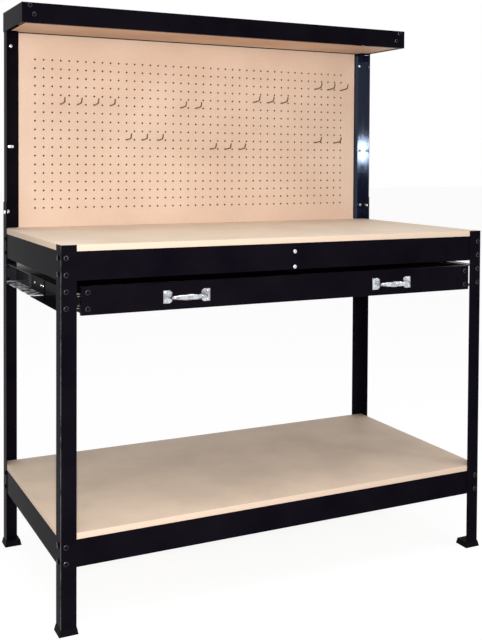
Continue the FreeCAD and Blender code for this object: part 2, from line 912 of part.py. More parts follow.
DRAWER_T = cell("drawerWall")
BOX_X = SLIDE_X - SL_U
FRONT_X = HALF - LEG - cell("drawerEndGap")
FRONT_T = cell("drawerFrontWall")
box_back = cell("slideStart") + SLIDE_LONG + cell("drawerBackGap")
box_low = 3.0
box_tall = DRAWER_H - 5.0


def make_drawer_front():
    fold = cell("drawerFold")
    body = new_body("drawer_front", 0.0, -cell("drawerProud"), DRAWER_Z)
    pad(body, "drawer_front_face", "XZ_Plane", [
        (-FRONT_X, 0.0),
        (FRONT_X, 0.0),
        (FRONT_X, DRAWER_H),
        (-FRONT_X, DRAWER_H),
    ], FRONT_T, reverse=True)
    pad(body, "drawer_front_top_fold", "XZ_Plane", [
        (-FRONT_X, DRAWER_H - FRONT_T),
        (FRONT_X, DRAWER_H - FRONT_T),
        (FRONT_X, DRAWER_H),
        (-FRONT_X, DRAWER_H),
    ], fold, reverse=True)
    pad(body, "drawer_front_bottom_fold", "XZ_Plane", [
        (-FRONT_X, 0.0),
        (FRONT_X, 0.0),
        (FRONT_X, FRONT_T),
        (-FRONT_X, FRONT_T),
    ], fold, reverse=True)
    for side, name in ((-1, "left"), (1, "right")):
        edge = FRONT_X * side
        inner = (FRONT_X - FRONT_T) * side
        pad(body, "drawer_front_%s_fold" % name, "XZ_Plane", [
            (edge, 0.0),
            (inner, 0.0),
            (inner, DRAWER_H),
            (edge, DRAWER_H),
        ], fold - 3.0, reverse=True)
    round_folds(body, "drawer_front_long_folds", FOLD, "X", [(0.0, 0.0), (0.0, DRAWER_H)])
    return body


def make_drawer_side(label, side):
    start = FRONT_T - cell("drawerProud")
    body = new_body(label, BOX_X * side, start, DRAWER_Z + box_low)
    length = box_back - start
    section = [
        (0.0, 0.0),
        (sided(side, DRAWER_T), 0.0),
        (sided(side, DRAWER_T), box_tall),
        (0.0, box_tall),
    ]
    pad(body, label + "_wall", "XZ_Plane", section, length, reverse=True)
    flange = [
        (sided(side, 0.0), 0.0),
        (sided(side, 14.0), 0.0),
        (sided(side, 14.0), DRAWER_T),
        (sided(side, 0.0), DRAWER_T),
    ]
    pad(body, label + "_flange", "XZ_Plane", flange, length - 4.0, reverse=True)
    tab = [
        (sided(side, 0.0), 0.0),
        (sided(side, 20.0), 0.0),
        (sided(side, 20.0), box_tall - 3.0),
        (sided(side, 0.0), box_tall - 3.0),
    ]
    pad(body, label + "_front_tab", "XZ_Plane", tab, DRAWER_T, reverse=True)
    return body


def make_drawer_back():
    edge = BOX_X - DRAWER_T
    body = new_body("drawer_back", 0.0, box_back - DRAWER_T, DRAWER_Z + box_low + DRAWER_T)
    tall = box_tall - DRAWER_T
    pad(body, "drawer_back_wall", "XZ_Plane", [
        (-edge, 0.0),
        (edge, 0.0),
        (edge, tall),
        (-edge, tall),
    ], DRAWER_T, reverse=True)
    pad(body, "drawer_back_hem", "XZ_Plane", [
        (-edge, tall - DRAWER_T),
        (edge, tall - DRAWER_T),
        (edge, tall),
        (-edge, tall),
    ], 10.0)
    return body


def make_drawer_bottom():
    edge = BOX_X - DRAWER_T - 0.2
    start = FRONT_T - cell("drawerProud") + DRAWER_T + 0.2
    body = new_body("drawer_bottom", 0.0, start, DRAWER_Z + box_low + DRAWER_T)
    pad(body, "drawer_bottom_sheet", "XY_Plane", [
        (-edge, 0.0),
        (edge, 0.0),
        (edge, box_back - DRAWER_T - start),
        (-edge, box_back - DRAWER_T - start),
    ], DRAWER_T)
    return body


# Handles: cast bows, a spindle swelled in the middle between two posts on lobed plates.

# The grip's sections: share of the way out from the middle, and share of the full girth.
SWELL = [(-1.0, 0.62), (-0.65, 0.8), (-0.3, 0.96), (0.0, 1.0), (0.3, 0.96), (0.65, 0.8), (1.0, 0.62)]


def make_handle(label, side):
    long_half = cell("handleLong") / 2
    plate_w = cell("handlePlateWide")
    plate_h = cell("handlePlateTall") / 2
    plate_t = cell("handlePlateThick")
    grip = cell("handleGrip") / 2
    reach = cell("handleReach")
    middle = cell("handleSpread") / 2 * side
    body = new_body(label, middle, -cell("drawerProud"), HANDLE_Z)
    post = grip * 0.62
    axis = reach - grip
    for end, name in ((-1, "left"), (1, "right")):
        outer = long_half * end
        inner = (long_half - plate_w) * end
        waist = (long_half - plate_w * 0.45) * end
        points = [
            (outer, -plate_h),
            (waist, -plate_h),
            (inner, -grip * 0.9),
            (inner, grip * 0.9),
            (waist, plate_h),
            (outer, plate_h),
        ]
        pad(body, "%s_%s_plate" % (label, name), "XZ_Plane", points, plate_t)
        post_in = (long_half - plate_w - 1.0) * end
        post_out = (long_half - plate_w * 0.42) * end
        arm = [
            (post_out, -plate_t),
            (post_in, -plate_t),
            (post_in - post * 0.6 * end, -(axis + post)),
            (post_in + post * 0.2 * end, -(axis + post)),
        ]
        pad(body, "%s_%s_post" % (label, name), "XY_Plane", arm, post * 2, offset=-post)
    inner_x = long_half - plate_w - 1.0
    sections = []
    for i, (along, swell) in enumerate(SWELL):
        sketch = new_sketch(body, "%s_section%d" % (label, i), "YZ_Plane", inner_x * along)
        draw_polygon(sketch, ngon(-axis, 0.0, grip * 2 * swell, 12))
        sections.append(sketch)
    spindle = body.newObject("PartDesign::AdditiveLoft", label + "_spindle")
    spindle.Profile = sections[0]
    spindle.Sections = sections[1:]
    spindle.Ruled = True
    body.Tip = spindle
    return body


# Fasteners: heads on the outer face and nuts on the inner face of what they clamp.

def turned_to(direction):
    return Rotation(Vector(0, 0, 1), Vector(*direction))


def ring(across, sides, z=0.0):
    radius = across / 2 / math.cos(math.pi / sides)
    corners = []
    for i in range(sides + 1):
        angle = 2 * math.pi * (i + 0.5) / sides
        corners.append(Vector(radius * math.cos(angle), radius * math.sin(angle), z))
    return Part.makePolygon(corners)


def hex_shape(across, tall):
    return Part.Face(ring(across, 6)).extrude(Vector(0, 0, tall))


def pan_head(across, tall):
    # A low round head: a short rim under a dome that narrows to the top.
    rings = []
    for share, height in ((1.0, 0.0), (1.0, 0.4), (0.82, 0.8), (0.5, 1.0)):
        rings.append(ring(across * share, 8, tall * height))
    return Part.makeLoft(rings, True, True)


def put(shape, spot, direction):
    copy = shape.copy()
    middle = Vector(size_of(spot[0]).value, (size_of(spot[1]) - MID_Y).value, size_of(spot[2]).value)
    copy.Placement = Placement(middle, turned_to(direction))
    return copy


make_front_carrier("left_front_carrier", -1)
make_front_carrier("right_front_carrier", 1)
make_rear_carrier("left_rear_carrier", -1)
make_rear_carrier("right_rear_carrier", 1)
make_slide_outer("left_slide_outer", -1)
make_slide_outer("right_slide_outer", 1)
make_slide_inner("left_slide_inner", -1)
make_slide_inner("right_slide_inner", 1)
make_drawer_front()
make_drawer_side("drawer_left_side", -1)
make_drawer_side("drawer_right_side", 1)
make_drawer_back()
make_drawer_bottom()
make_handle("left_handle", -1)
make_handle("right_handle", 1)
make_strip("left_strip", -1)
make_strip("right_strip", 1)
doc.recompute()
make_retainer("left_ball_retainer", -1)
make_retainer("right_ball_retainer", 1)

HEX = hex_shape(BOLT.value, cell("boltHeadTall").value)
NUT = hex_shape(cell("nutWide").value, cell("nutTall").value)
PAN = pan_head(BOLT.value, cell("boltHeadTall").value)
SCREW = pan_head(cell("screwHead").value, cell("screwHeadTall").value)

rail_bolts = []
rails = [
    (worktop_rail_top, cell("worktopRailDeep")),
    (shelf_rail_top, cell("shelfRailDeep")),
]
for level, deep in rails:
    for side in (-1, 1):
        for rear in (False, True):
            face = D if rear else size_of(0.0)
            out = 1 if rear else -1
            inner = D - LEG_T - SHEET_T if rear else LEG_T + SHEET_T
            for drop in (-1, 1):
                z = level - deep / 2 + PITCH / 2 * drop
                x = (HALF - INSET) * side
                rail_bolts.append(put(HEX, (x, face, z), (0, out, 0)))
                rail_bolts.append(put(NUT, (x, inner, z), (0, -out, 0)))
                y = D - cell("sideBoltInset") if rear else cell("sideBoltInset")
                rail_bolts.append(put(HEX, (HALF * side, y, z), (side, 0, 0)))
                rail_bolts.append(put(NUT, ((HALF - LEG_T - SHEET_T) * side, y, z), (-side, 0, 0)))
for side in (-1, 1):
    for rise in ("carrierBoltLow", "carrierBoltHigh"):
        z = CARRIER_Z + cell(rise)
        x = (HALF - INSET) * side
        rail_bolts.append(put(HEX, (x, 0.0, z), (0, -1, 0)))
        rail_bolts.append(put(NUT, (x, LEG_T + SHEET_T, z), (0, 1, 0)))
        rail_bolts.append(put(HEX, (x, D, z), (0, 1, 0)))
        rail_bolts.append(put(NUT, (x, D - LEG_T - SHEET_T, z), (0, -1, 0)))
    for name in ("Low", "High"):
        x = (HALF - cell("rim%sInset" % name)) * side
        rise = cell("rimBolt" + name)
        rail_bolts.append(put(HEX, (x, rim_front, rim_z + rise), (0, -1, 0)))
        rail_bolts.append(put(NUT, (x, rim_front + SHEET_T * 2, rim_z + rise), (0, 1, 0)))
place_feature("frame_bolts", Part.makeCompound(rail_bolts))

# Bright bolts: the uprights' joints, the pegboard strips, the brace and the carriers.
bright = []
joint_z = (WORKTOP + rear_leg_top) / 2 + 9.0
clip_z = WORKTOP + 230.0
strip_z = H - RIM - 38.0
upright_face = D - LEG_T - SHEET_T
for side in (-1, 1):
    x = (HALF - INSET) * side
    bright.append(put(PAN, (x, upright_face, joint_z), (0, -1, 0)))
    bright.append(put(NUT, (x, D, joint_z), (0, 1, 0)))
    side_y = D - LEG + 9.0
    bright.append(put(PAN, ((HALF - LEG_T - SHEET_T) * side, side_y, joint_z), (-side, 0, 0)))
    bright.append(put(NUT, (HALF * side, side_y, joint_z), (side, 0, 0)))
    strip_x = (HALF - cell("stripBoltInset")) * side
    bright.append(put(PAN, (strip_x, upright_face, strip_z), (0, -1, 0)))
    bright.append(put(NUT, (strip_x, D - LEG_T + SHEET_T, strip_z), (0, 1, 0)))
    bright.append(put(NUT, (strip_x, D - LEG_T + SHEET_T, clip_z), (0, 1, 0)))
    clip = Part.makeBox(17.0, 2.6, 8.5, Vector(-8.5, -2.6, -4.25))
    clip.translate(Vector(strip_x.value, (upright_face - MID_Y).value, clip_z.value))
    bright.append(clip)
    # One screw through the carrier's web, and two through its tongue.
    for name in ("First", "Second", "Third"):
        y = LEG_T + cell("carrierLength") - cell("tongueOverlap") + cell("carrierScrew" + name)
        spot = ((HALF - web_in + SHEET_T) * side, y, CARRIER_Z + cell("carrierScrewRise"))
        bright.append(put(SCREW, spot, (side, 0, 0)))
for rise in (7.5, 46.5):
    z = worktop_rail_top - cell("worktopRailDeep") + rise
    bright.append(put(PAN, (cell("braceShift"), LEG_T, z), (0, -1, 0)))
place_feature("bright_bolts", Part.makeCompound(bright))

drawer_bolts = []
for side in (-1, 1):
    for z in (DRAWER_Z + 15.0, DRAWER_Z + 53.0):
        x = (BOX_X - 11.0) * side
        drawer_bolts.append(put(HEX, (x, -cell("drawerProud"), z), (0, -1, 0)))
        drawer_bolts.append(put(NUT, (x, FRONT_T - cell("drawerProud") + DRAWER_T, z), (0, 1, 0)))
place_feature("drawer_bolts", Part.makeCompound(drawer_bolts))

handle_screws = []
for side in (-1, 1):
    for end in (-1, 1):
        for z in (-1, 1):
            x = cell("handleSpread") / 2 * side
            x = x + (cell("handleLong") / 2 - cell("handlePlateWide") * 0.28) * end
            y = -cell("drawerProud") - cell("handlePlateThick")
            spot = (x, y, HANDLE_Z + cell("handlePlateTall") * (0.3 * z))
            handle_screws.append(put(SCREW, spot, (0, -1, 0)))
place_feature("handle_screws", Part.makeCompound(handle_screws))


# Hooks: bent wire, through a hole of the pegboard, out, and up at the tip.

def hook_shape():
    reach = cell("hookReach").value
    bend = cell("hookBend").value
    radius = cell("hookWire").value / 2
    back = cell("pegThick").value + radius + 0.3

    def way(angle):
        return Vector(0, -math.cos(math.radians(angle)), math.sin(math.radians(angle)))

    corner = way(HOOK_RISE) * -back
    points = [corner + Vector(0, 0, cell("hookTail").value), corner]
    spot = way(HOOK_RISE) * (reach - bend)
    points.append(spot)
    chord = bend * math.radians(HOOK_TURN) / 2
    for share in (1, 2):
        spot = spot + way(HOOK_RISE + HOOK_TURN * share / 3) * chord
        points.append(spot)
    points.append(spot + way(HOOK_RISE + HOOK_TURN) * cell("hookTip").value)
    path = Part.makePolygon(points)
    wire = ring(radius * 2, 8)
    wire.Placement = Placement(points[0], Rotation())
    return path.makePipeShell([wire], True, False, 1)


HOOK_RISE = 6.0
HOOK_TURN = 62.0
HOOK = hook_shape()
sag = (cell("pegHole") - cell("hookWire")) / 2 - cell("pegThick") * 0.11 - 0.03
for label, (column, line, step, count) in HOOKS.items():
    pieces = []
    for i in range(count):
        hole_x = peg_left + cell("pegPitch") * (column + step * i)
        hole_z = WORKTOP + peg_top - cell("pegPitch") * line - sag
        copy = HOOK.copy()
        copy.Placement = Placement(
            Vector(hole_x.value, (peg_y - MID_Y).value, hole_z.value), Rotation())
        pieces.append(copy)
    place_feature(label, Part.makeCompound(pieces))

doc.recompute()

for thing in doc.Objects:
    for word in ("Invalid", "Error"):
        if word in thing.State:
            raise RuntimeError("%s is %s" % (thing.Label, thing.State))

os.makedirs("parts", exist_ok=True)
for thing in made:
    shape = thing.Shape
    if shape.isNull() or not shape.isValid() or not shape.Solids:
        raise RuntimeError("%s has no valid solid" % thing.Label)
for thing in made:
    thing.Shape.exportStep("parts/%s.step" % thing.Label)
    print(thing.Label, len(thing.Shape.Solids), round(thing.Shape.Volume))
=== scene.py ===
import math

import bmesh
import bpy
from mathutils import Matrix, Vector


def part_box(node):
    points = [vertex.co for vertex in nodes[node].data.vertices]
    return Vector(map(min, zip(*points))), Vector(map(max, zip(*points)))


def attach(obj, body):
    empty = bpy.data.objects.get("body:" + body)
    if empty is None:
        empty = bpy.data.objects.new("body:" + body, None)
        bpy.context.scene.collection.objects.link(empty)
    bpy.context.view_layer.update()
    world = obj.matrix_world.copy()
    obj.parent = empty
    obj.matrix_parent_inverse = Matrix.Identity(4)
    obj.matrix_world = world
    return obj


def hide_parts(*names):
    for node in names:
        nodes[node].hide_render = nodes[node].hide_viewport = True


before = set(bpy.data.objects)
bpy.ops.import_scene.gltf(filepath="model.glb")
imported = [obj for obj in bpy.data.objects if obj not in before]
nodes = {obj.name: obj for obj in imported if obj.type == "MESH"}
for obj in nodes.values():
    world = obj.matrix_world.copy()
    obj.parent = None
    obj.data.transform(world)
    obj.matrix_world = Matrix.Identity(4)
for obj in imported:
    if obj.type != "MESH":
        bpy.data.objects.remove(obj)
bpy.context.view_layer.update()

# Steel workbench with a drawer, a low shelf, a pegboard and a top shelf.
# The frame, the camera and the lamps are in metres, the pieces' dictionaries in millimetres.
mm = 0.001
print("frame loaded:", len(nodes), "nodes")


camera = {
    "place": (-1.18618, -2.41250, 1.09659),
    "yaw": 0.4614176,
    "pitch": 0.0272482,
    "roll": 0.0057569,
    "lens": 53.76,
    "sensor": 36.0,
    "shift": (-0.0121, -0.2096),
}


def makeCamera():
    yaw, pitch, roll = camera["yaw"], camera["pitch"], camera["roll"]
    ahead = Vector((math.sin(yaw) * math.cos(pitch), math.cos(yaw) * math.cos(pitch), -math.sin(pitch)))
    right = Vector((math.cos(yaw), -math.sin(yaw), 0))
    up = right.cross(ahead)
    across = right * math.cos(roll) + up * math.sin(roll)
    above = up * math.cos(roll) - right * math.sin(roll)
    data = bpy.data.cameras.new("photoCamera")
    data.lens = camera["lens"]
    data.sensor_width = camera["sensor"]
    data.shift_x, data.shift_y = camera["shift"]
    eye = bpy.data.objects.new("photoCamera", data)
    bpy.context.scene.collection.objects.link(eye)
    turn = Matrix((across, above, -ahead)).transposed()
    eye.matrix_world = Matrix.Translation(camera["place"]) @ turn.to_4x4()
    bpy.context.scene.camera = eye


makeCamera()
bpy.context.scene.view_settings.view_transform = "Standard"
print("camera set")


def newMaterial(name):
    material = bpy.data.materials.new(name)
    material.use_nodes = True
    tree = material.node_tree
    shader = tree.nodes["Principled BSDF"]
    return material, tree, shader


def objectPoint(tree, scale=(1, 1, 1)):
    place = tree.nodes.new("ShaderNodeTexCoord")
    mapping = tree.nodes.new("ShaderNodeMapping")
    mapping.inputs["Scale"].default_value = scale
    tree.links.new(place.outputs["Object"], mapping.inputs["Vector"])
    return mapping.outputs["Vector"]


def noise(tree, point, scale, detail=3.0, rough=0.55):
    node = tree.nodes.new("ShaderNodeTexNoise")
    node.inputs["Scale"].default_value = scale
    node.inputs["Detail"].default_value = detail
    node.inputs["Roughness"].default_value = rough
    tree.links.new(point, node.inputs["Vector"])
    return node.outputs["Fac"]


def ramp(tree, value, stops):
    node = tree.nodes.new("ShaderNodeValToRGB")
    band = node.color_ramp
    while len(band.elements) < len(stops):
        band.elements.new(0.5)
    for element, (place, colour) in zip(band.elements, stops):
        element.position = place
        element.color = (*colour, 1)
    tree.links.new(value, node.inputs["Fac"])
    return node.outputs["Color"]


def stretch(tree, value, low, high, start=0.0, end=1.0):
    node = tree.nodes.new("ShaderNodeMapRange")
    node.inputs["From Min"].default_value = start
    node.inputs["From Max"].default_value = end
    node.inputs["To Min"].default_value = low
    node.inputs["To Max"].default_value = high
    tree.links.new(value, node.inputs["Value"])
    return node.outputs["Result"]


def reckon(tree, operation, *values):
    node = tree.nodes.new("ShaderNodeMath")
    node.operation = operation
    for socket, value in zip(node.inputs, values):
        if isinstance(value, float):
            socket.default_value = value
        else:
            tree.links.new(value, socket)
    return node.outputs[0]


def mixColour(tree, factor, first, second, mode="MIX"):
    node = tree.nodes.new("ShaderNodeMix")
    node.data_type = "RGBA"
    node.blend_type = mode
    if isinstance(factor, float):
        node.inputs["Factor"].default_value = factor
    else:
        tree.links.new(factor, node.inputs["Factor"])
    for socket, colour in ((node.inputs["A"], first), (node.inputs["B"], second)):
        if isinstance(colour, tuple):
            socket.default_value = (*colour, 1)
        else:
            tree.links.new(colour, socket)
    return node.outputs["Result"]


def bump(tree, shader, height, strength, distance):
    node = tree.nodes.new("ShaderNodeBump")
    node.inputs["Strength"].default_value = strength
    node.inputs["Distance"].default_value = distance
    tree.links.new(height, node.inputs["Height"])
    tree.links.new(node.outputs["Normal"], shader.inputs["Normal"])


paint = {
    "colour": (0.0034, 0.0025, 0.0050),
    "dust": (0.0068, 0.0052, 0.0078),
    "specular": 0.0032,
    "rough": (0.13, 0.22),
    "streak": (1, 1, 1),
    "peel": (900.0, 0.06),
}
# The right upright's paint: glossier than the rest, and its bluish base colour is painted sheen.
gloss = {
    "colour": (0.0040, 0.0050, 0.0170),
    "dust": (0.0070, 0.0080, 0.0220),
    "specular": 0.48,
    "rough": (0.02, 0.12),
    "streak": (14, 14, 0.3),
    "peel": (500.0, 0.02),
    "tint": (0.66, 0.78, 1.0),
}
coat = {
    "cloud": 7.0,
    "cloudEnds": (0.35, 0.8),
    "brush": 23.0,
    "peelDeep": 0.0004,
}
# A light line along the legs' outer folds: a painted highlight, uneven in patches.
foldHighlight = {
    "colour": (0.34, 0.32, 0.33),
    "start": 1.75,
    "full": 1.25,
    "patches": 40.0,
    "patchEnds": (0.35, 0.6),
    "least": 0.2,
}


def foldHighlightMask(tree, point):
    # One along the outer folds of the four legs, where a thin light line is painted as the folds'
    # highlight, uneven in patches. The distances start and full are measured inwards from the sharp corner,
    # both ways added.
    low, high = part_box("front_left_leg")[0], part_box("rear_right_leg")[1]
    split = tree.nodes.new("ShaderNodeSeparateXYZ")
    tree.links.new(point, split.inputs["Vector"])
    across = reckon(tree, "ABSOLUTE", split.outputs["X"])
    deep = reckon(tree, "ABSOLUTE", reckon(tree, "SUBTRACT", split.outputs["Y"], (low.y + high.y) / 2))
    corner = high.x + (high.y - low.y) / 2
    start, full = corner - foldHighlight["start"] * mm, corner - foldHighlight["full"] * mm
    near = stretch(tree, reckon(tree, "ADD", across, deep), 0.0, 1.0, start, full)
    patches = noise(tree, point, foldHighlight["patches"], 3.0)
    patchy = stretch(tree, patches, foldHighlight["least"], 1.0, *foldHighlight["patchEnds"])
    return reckon(tree, "MULTIPLY", near, patchy)


def makePaint(name, settings, paintedFold=False):
    material, tree, shader = newMaterial(name)
    point = objectPoint(tree)
    cloud = noise(tree, point, coat["cloud"], 4.0)
    clean, dusty = coat["cloudEnds"]
    colour = ramp(tree, cloud, [(clean, settings["colour"]), (dusty, settings["dust"])])
    # The legs' outer folds get a painted highlight line.
    if paintedFold:
        colour = mixColour(tree, foldHighlightMask(tree, point), colour, foldHighlight["colour"])
    tree.links.new(colour, shader.inputs["Base Color"])
    low, high = settings["rough"]
    drawn = noise(tree, objectPoint(tree, settings["streak"]), coat["brush"], 3.0)
    tree.links.new(stretch(tree, drawn, low, high), shader.inputs["Roughness"])
    shader.inputs["Specular IOR Level"].default_value = settings["specular"]
    scale, strength = settings["peel"]
    bump(tree, shader, noise(tree, point, scale, 2.0), strength, coat["peelDeep"])
    return material


board = {
    "top": ((0.70, 0.575, 0.450), (0.79, 0.665, 0.540)),
    "shelf": ((0.65, 0.500, 0.385), (0.80, 0.630, 0.485)),
    "under": ((0.49, 0.315, 0.215), (0.65, 0.440, 0.310)),
    "edge": (0.68, 0.52, 0.40),
    "thinEdge": (0.50, 0.34, 0.22),
    "cloud": 5.0,
    "cloudEnds": (0.3, 0.7),
    "fleck": 420.0,
    "fleckColour": (0.80, 0.78, 0.75),
    "fleckEnds": (0.30, 0.52),
    "fleckShare": 0.55,
    "layers": (12, 12, 900),
    "layerShade": 0.86,
    "rough": 0.62,
    "specular": 0.3,
    "relief": (0.10, 0.0005),
}


def makeBoard(name, dark, pale, edge):
    # Pressed board: fine flecks on the faces, and plain pale sides in thin layers.
    material, tree, shader = newMaterial(name)
    point = objectPoint(tree)
    broad = noise(tree, point, board["cloud"], 5.0)
    fleck = noise(tree, point, board["fleck"], 4.0, 0.7)
    darkEnd, paleEnd = board["cloudEnds"]
    face = ramp(tree, broad, [(darkEnd, dark), (paleEnd, pale)])
    darkEnd, paleEnd = board["fleckEnds"]
    speck = ramp(tree, fleck, [(darkEnd, board["fleckColour"]), (paleEnd, (1, 1, 1))])
    face = mixColour(tree, board["fleckShare"], face, speck, "MULTIPLY")
    geometry = tree.nodes.new("ShaderNodeNewGeometry")
    split = tree.nodes.new("ShaderNodeSeparateXYZ")
    tree.links.new(geometry.outputs["Normal"], split.inputs["Vector"])
    isFace = reckon(tree, "GREATER_THAN", reckon(tree, "ABSOLUTE", split.outputs["Z"]), 0.5)
    layers = noise(tree, objectPoint(tree, board["layers"]), 1.0, 3.0)
    shaded = tuple(part * board["layerShade"] for part in edge)
    side = mixColour(tree, stretch(tree, layers, 0.0, 1.0), shaded, edge)
    tree.links.new(mixColour(tree, isFace, side, face), shader.inputs["Base Color"])
    shader.inputs["Roughness"].default_value = board["rough"]
    shader.inputs["Specular IOR Level"].default_value = board["specular"]
    bump(tree, shader, fleck, *board["relief"])
    return material


peg = {
    "face": ((0.64, 0.455, 0.340), (0.73, 0.545, 0.420)),
    "back": ((0.25, 0.150, 0.095), (0.36, 0.225, 0.145)),
    # the colour lining and closing the holes: painted shade
    "hole": (0.050, 0.026, 0.016),
    "cloud": 3.4,
    "cloudEnds": (0.3, 0.7),
    "fleck": 330.0,
    "fleckColour": (0.80, 0.77, 0.74),
    "fleckEnds": (0.3, 0.62),
    "fleckShare": 0.6,
    "rough": 0.55,
    "specular": 0.3,
    "relief": (0.12, 0.0004),
    "weave": 620.0,
    "weaveRelief": (0.35, 0.0006),
}


def makePegFace(name, dark, pale, woven):
    # Hardboard: smooth in front, with the mark of the press's mesh on its back.
    material, tree, shader = newMaterial(name)
    point = objectPoint(tree)
    broad = noise(tree, point, peg["cloud"], 3.0)
    fleck = noise(tree, point, peg["fleck"], 4.0, 0.75)
    darkEnd, paleEnd = peg["cloudEnds"]
    face = ramp(tree, broad, [(darkEnd, dark), (paleEnd, pale)])
    darkEnd, paleEnd = peg["fleckEnds"]
    speck = ramp(tree, fleck, [(darkEnd, peg["fleckColour"]), (paleEnd, (1, 1, 1))])
    face = mixColour(tree, peg["fleckShare"], face, speck, "MULTIPLY")
    tree.links.new(face, shader.inputs["Base Color"])
    shader.inputs["Roughness"].default_value = peg["rough"]
    shader.inputs["Specular IOR Level"].default_value = peg["specular"]
    if woven:
        weave = tree.nodes.new("ShaderNodeTexChecker")
        weave.inputs["Scale"].default_value = peg["weave"]
        tree.links.new(point, weave.inputs["Vector"])
        bump(tree, shader, weave.outputs["Fac"], *peg["weaveRelief"])
    else:
        bump(tree, shader, fleck, *peg["relief"])
    return material


plain = {
    "cloudEnds": (0.25, 0.75),
    "smear": 2.3,
    "smearRough": (0.8, 1.25),
    "relief": 0.08,
}


def makePlain(name, colour, rough, metal=0.0, specular=0.5, scale=60.0, spread=0.25, depth=0.0002):
    # One finish with its colour and gloss a little uneven.
    material, tree, shader = newMaterial(name)
    point = objectPoint(tree)
    cloud = noise(tree, point, scale, 4.0)
    darkEnd, paleEnd = plain["cloudEnds"]
    dark = tuple(part * (1 - spread) for part in colour)
    tree.links.new(ramp(tree, cloud, [(darkEnd, dark), (paleEnd, colour)]), shader.inputs["Base Color"])
    smooth, dull = plain["smearRough"]
    smear = noise(tree, point, scale * plain["smear"])
    tree.links.new(stretch(tree, smear, rough * smooth, rough * dull), shader.inputs["Roughness"])
    shader.inputs["Metallic"].default_value = metal
    shader.inputs["Specular IOR Level"].default_value = specular
    bump(tree, shader, cloud, plain["relief"], depth)
    return material


# Bright patches along the rear carriers' lower edge: painted glints.
lipGlints = {
    "colour": (0.82, 0.82, 0.86),
    "tall": 2.6,
    "patches": 60.0,
    "patchEnds": (0.42, 0.58),
}


def addLipGlints(material, nodeName):
    # The lower edge of the pressed plate, with bright patches painted on as glints.
    tree = material.node_tree
    shader = tree.nodes["Principled BSDF"]
    point = objectPoint(tree)
    split = tree.nodes.new("ShaderNodeSeparateXYZ")
    tree.links.new(point, split.inputs["Vector"])
    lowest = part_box(nodeName)[0].z
    lip = reckon(tree, "LESS_THAN", split.outputs["Z"], lowest + lipGlints["tall"] * mm)
    patches = noise(tree, point, lipGlints["patches"], 4.0)
    patchy = stretch(tree, patches, 0.0, 1.0, *lipGlints["patchEnds"])
    colour = shader.inputs["Base Color"].links[0].from_socket
    glinted = mixColour(tree, reckon(tree, "MULTIPLY", lip, patchy), colour, lipGlints["colour"])
    tree.links.new(glinted, shader.inputs["Base Color"])


blackPaint = makePaint("blackPaint", paint)
legPaintLitFold = makePaint("legPaintLitFold", paint, paintedFold=True)
glossPaintBlueSheen = makePaint("glossPaintBlueSheen", gloss)
glossShader = glossPaintBlueSheen.node_tree.nodes["Principled BSDF"]
glossShader.inputs["Specular Tint"].default_value = (*gloss["tint"], 1)
topBoard = makeBoard("worktopBoard", *board["top"], board["edge"])
shelfBoard = makeBoard("shelfBoard", *board["shelf"], board["edge"])
underBoard = makeBoard("thinBoard", *board["under"], board["thinEdge"])
pegFace = makePegFace("pegFace", *peg["face"], False)
pegBack = makePegFace("pegBack", *peg["back"], True)
# Inside the holes: a dark colour painted as shade.
pegHole = makePlain("pegHole", peg["hole"], 0.9, specular=0.1)
shoePlastic = makePlain("shoePlastic", (0.0055, 0.0048, 0.0060), 0.45, specular=0.012, scale=300.0)
boltCorner = makePlain("boltCorner", (0.16, 0.15, 0.17), 0.22, metal=1.0, scale=150.0, spread=0.9)
greyPlate = makePlain("greyPlate", (0.040, 0.037, 0.045), 0.24, specular=0.03, scale=24.0, spread=0.6)
addLipGlints(greyPlate, "left_rear_carrier")
zincPlate = makePlain("zincPlate", (0.80, 0.80, 0.79), 0.28, metal=1.0, scale=35.0, spread=0.3)
# Chrome whose colour is mottled dark in patches: painted reflections of dark surroundings.
chromeMottledReflections = makePlain("chromeMottledReflections", (0.80, 0.82, 0.88), 0.15, metal=1.0, scale=70.0, spread=0.66,
                         depth=0.0010)
# The plated hook wire in a dark brownish colour: a painted reflection of a dark room in place of the
# plating's own brightness.
hookWire = makePlain("hookWire", (0.20, 0.16, 0.14), 0.28, metal=1.0, scale=90.0)
screwMetal = makePlain("screwMetal", (0.80, 0.80, 0.81), 0.2, metal=1.0, scale=120.0)
boltMetal = makePlain("boltMetal", (0.0030, 0.0024, 0.0036), 0.13, specular=0.055, scale=120.0)

finishes = {
    "worktop_board": topBoard, "shelf_board": shelfBoard, "top_board": underBoard,
    "left_slide_outer": zincPlate, "right_slide_outer": zincPlate,
    "left_slide_inner": zincPlate, "right_slide_inner": zincPlate,
    "left_rear_carrier": greyPlate, "right_rear_carrier": greyPlate,
    "left_ball_retainer": zincPlate, "right_ball_retainer": zincPlate,
    "bright_bolts": screwMetal, "handle_screws": screwMetal,
    "frame_bolts": boltMetal, "drawer_bolts": boltMetal,
    "left_handle": chromeMottledReflections, "right_handle": chromeMottledReflections,
    "pegboard": pegFace,
    "right_upright": glossPaintBlueSheen,
}
for name, node in nodes.items():
    finish = finishes.get(name, blackPaint)
    if name.endswith("_foot"):
        finish = shoePlastic
    if name.endswith("_leg"):
        finish = legPaintLitFold
    if name.startswith("hooks_"):
        finish = hookWire
    node.data.materials.clear()
    node.data.materials.append(finish)
print("materials made")


def show(bm, name, materials, body, replaced=(), smooth=True, angle=35):
    mesh = bpy.data.meshes.new(name)
    bm.to_mesh(mesh)
    bm.free()
    thing = bpy.data.objects.new(name, mesh)
    bpy.context.scene.collection.objects.link(thing)
    for material in materials:
        mesh.materials.append(material)
    if smooth:
        mesh.shade_smooth()
        mesh.set_sharp_from_angle(angle=math.radians(angle))
    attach(thing, body)
    if replaced:
        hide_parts(*replaced)
    return thing


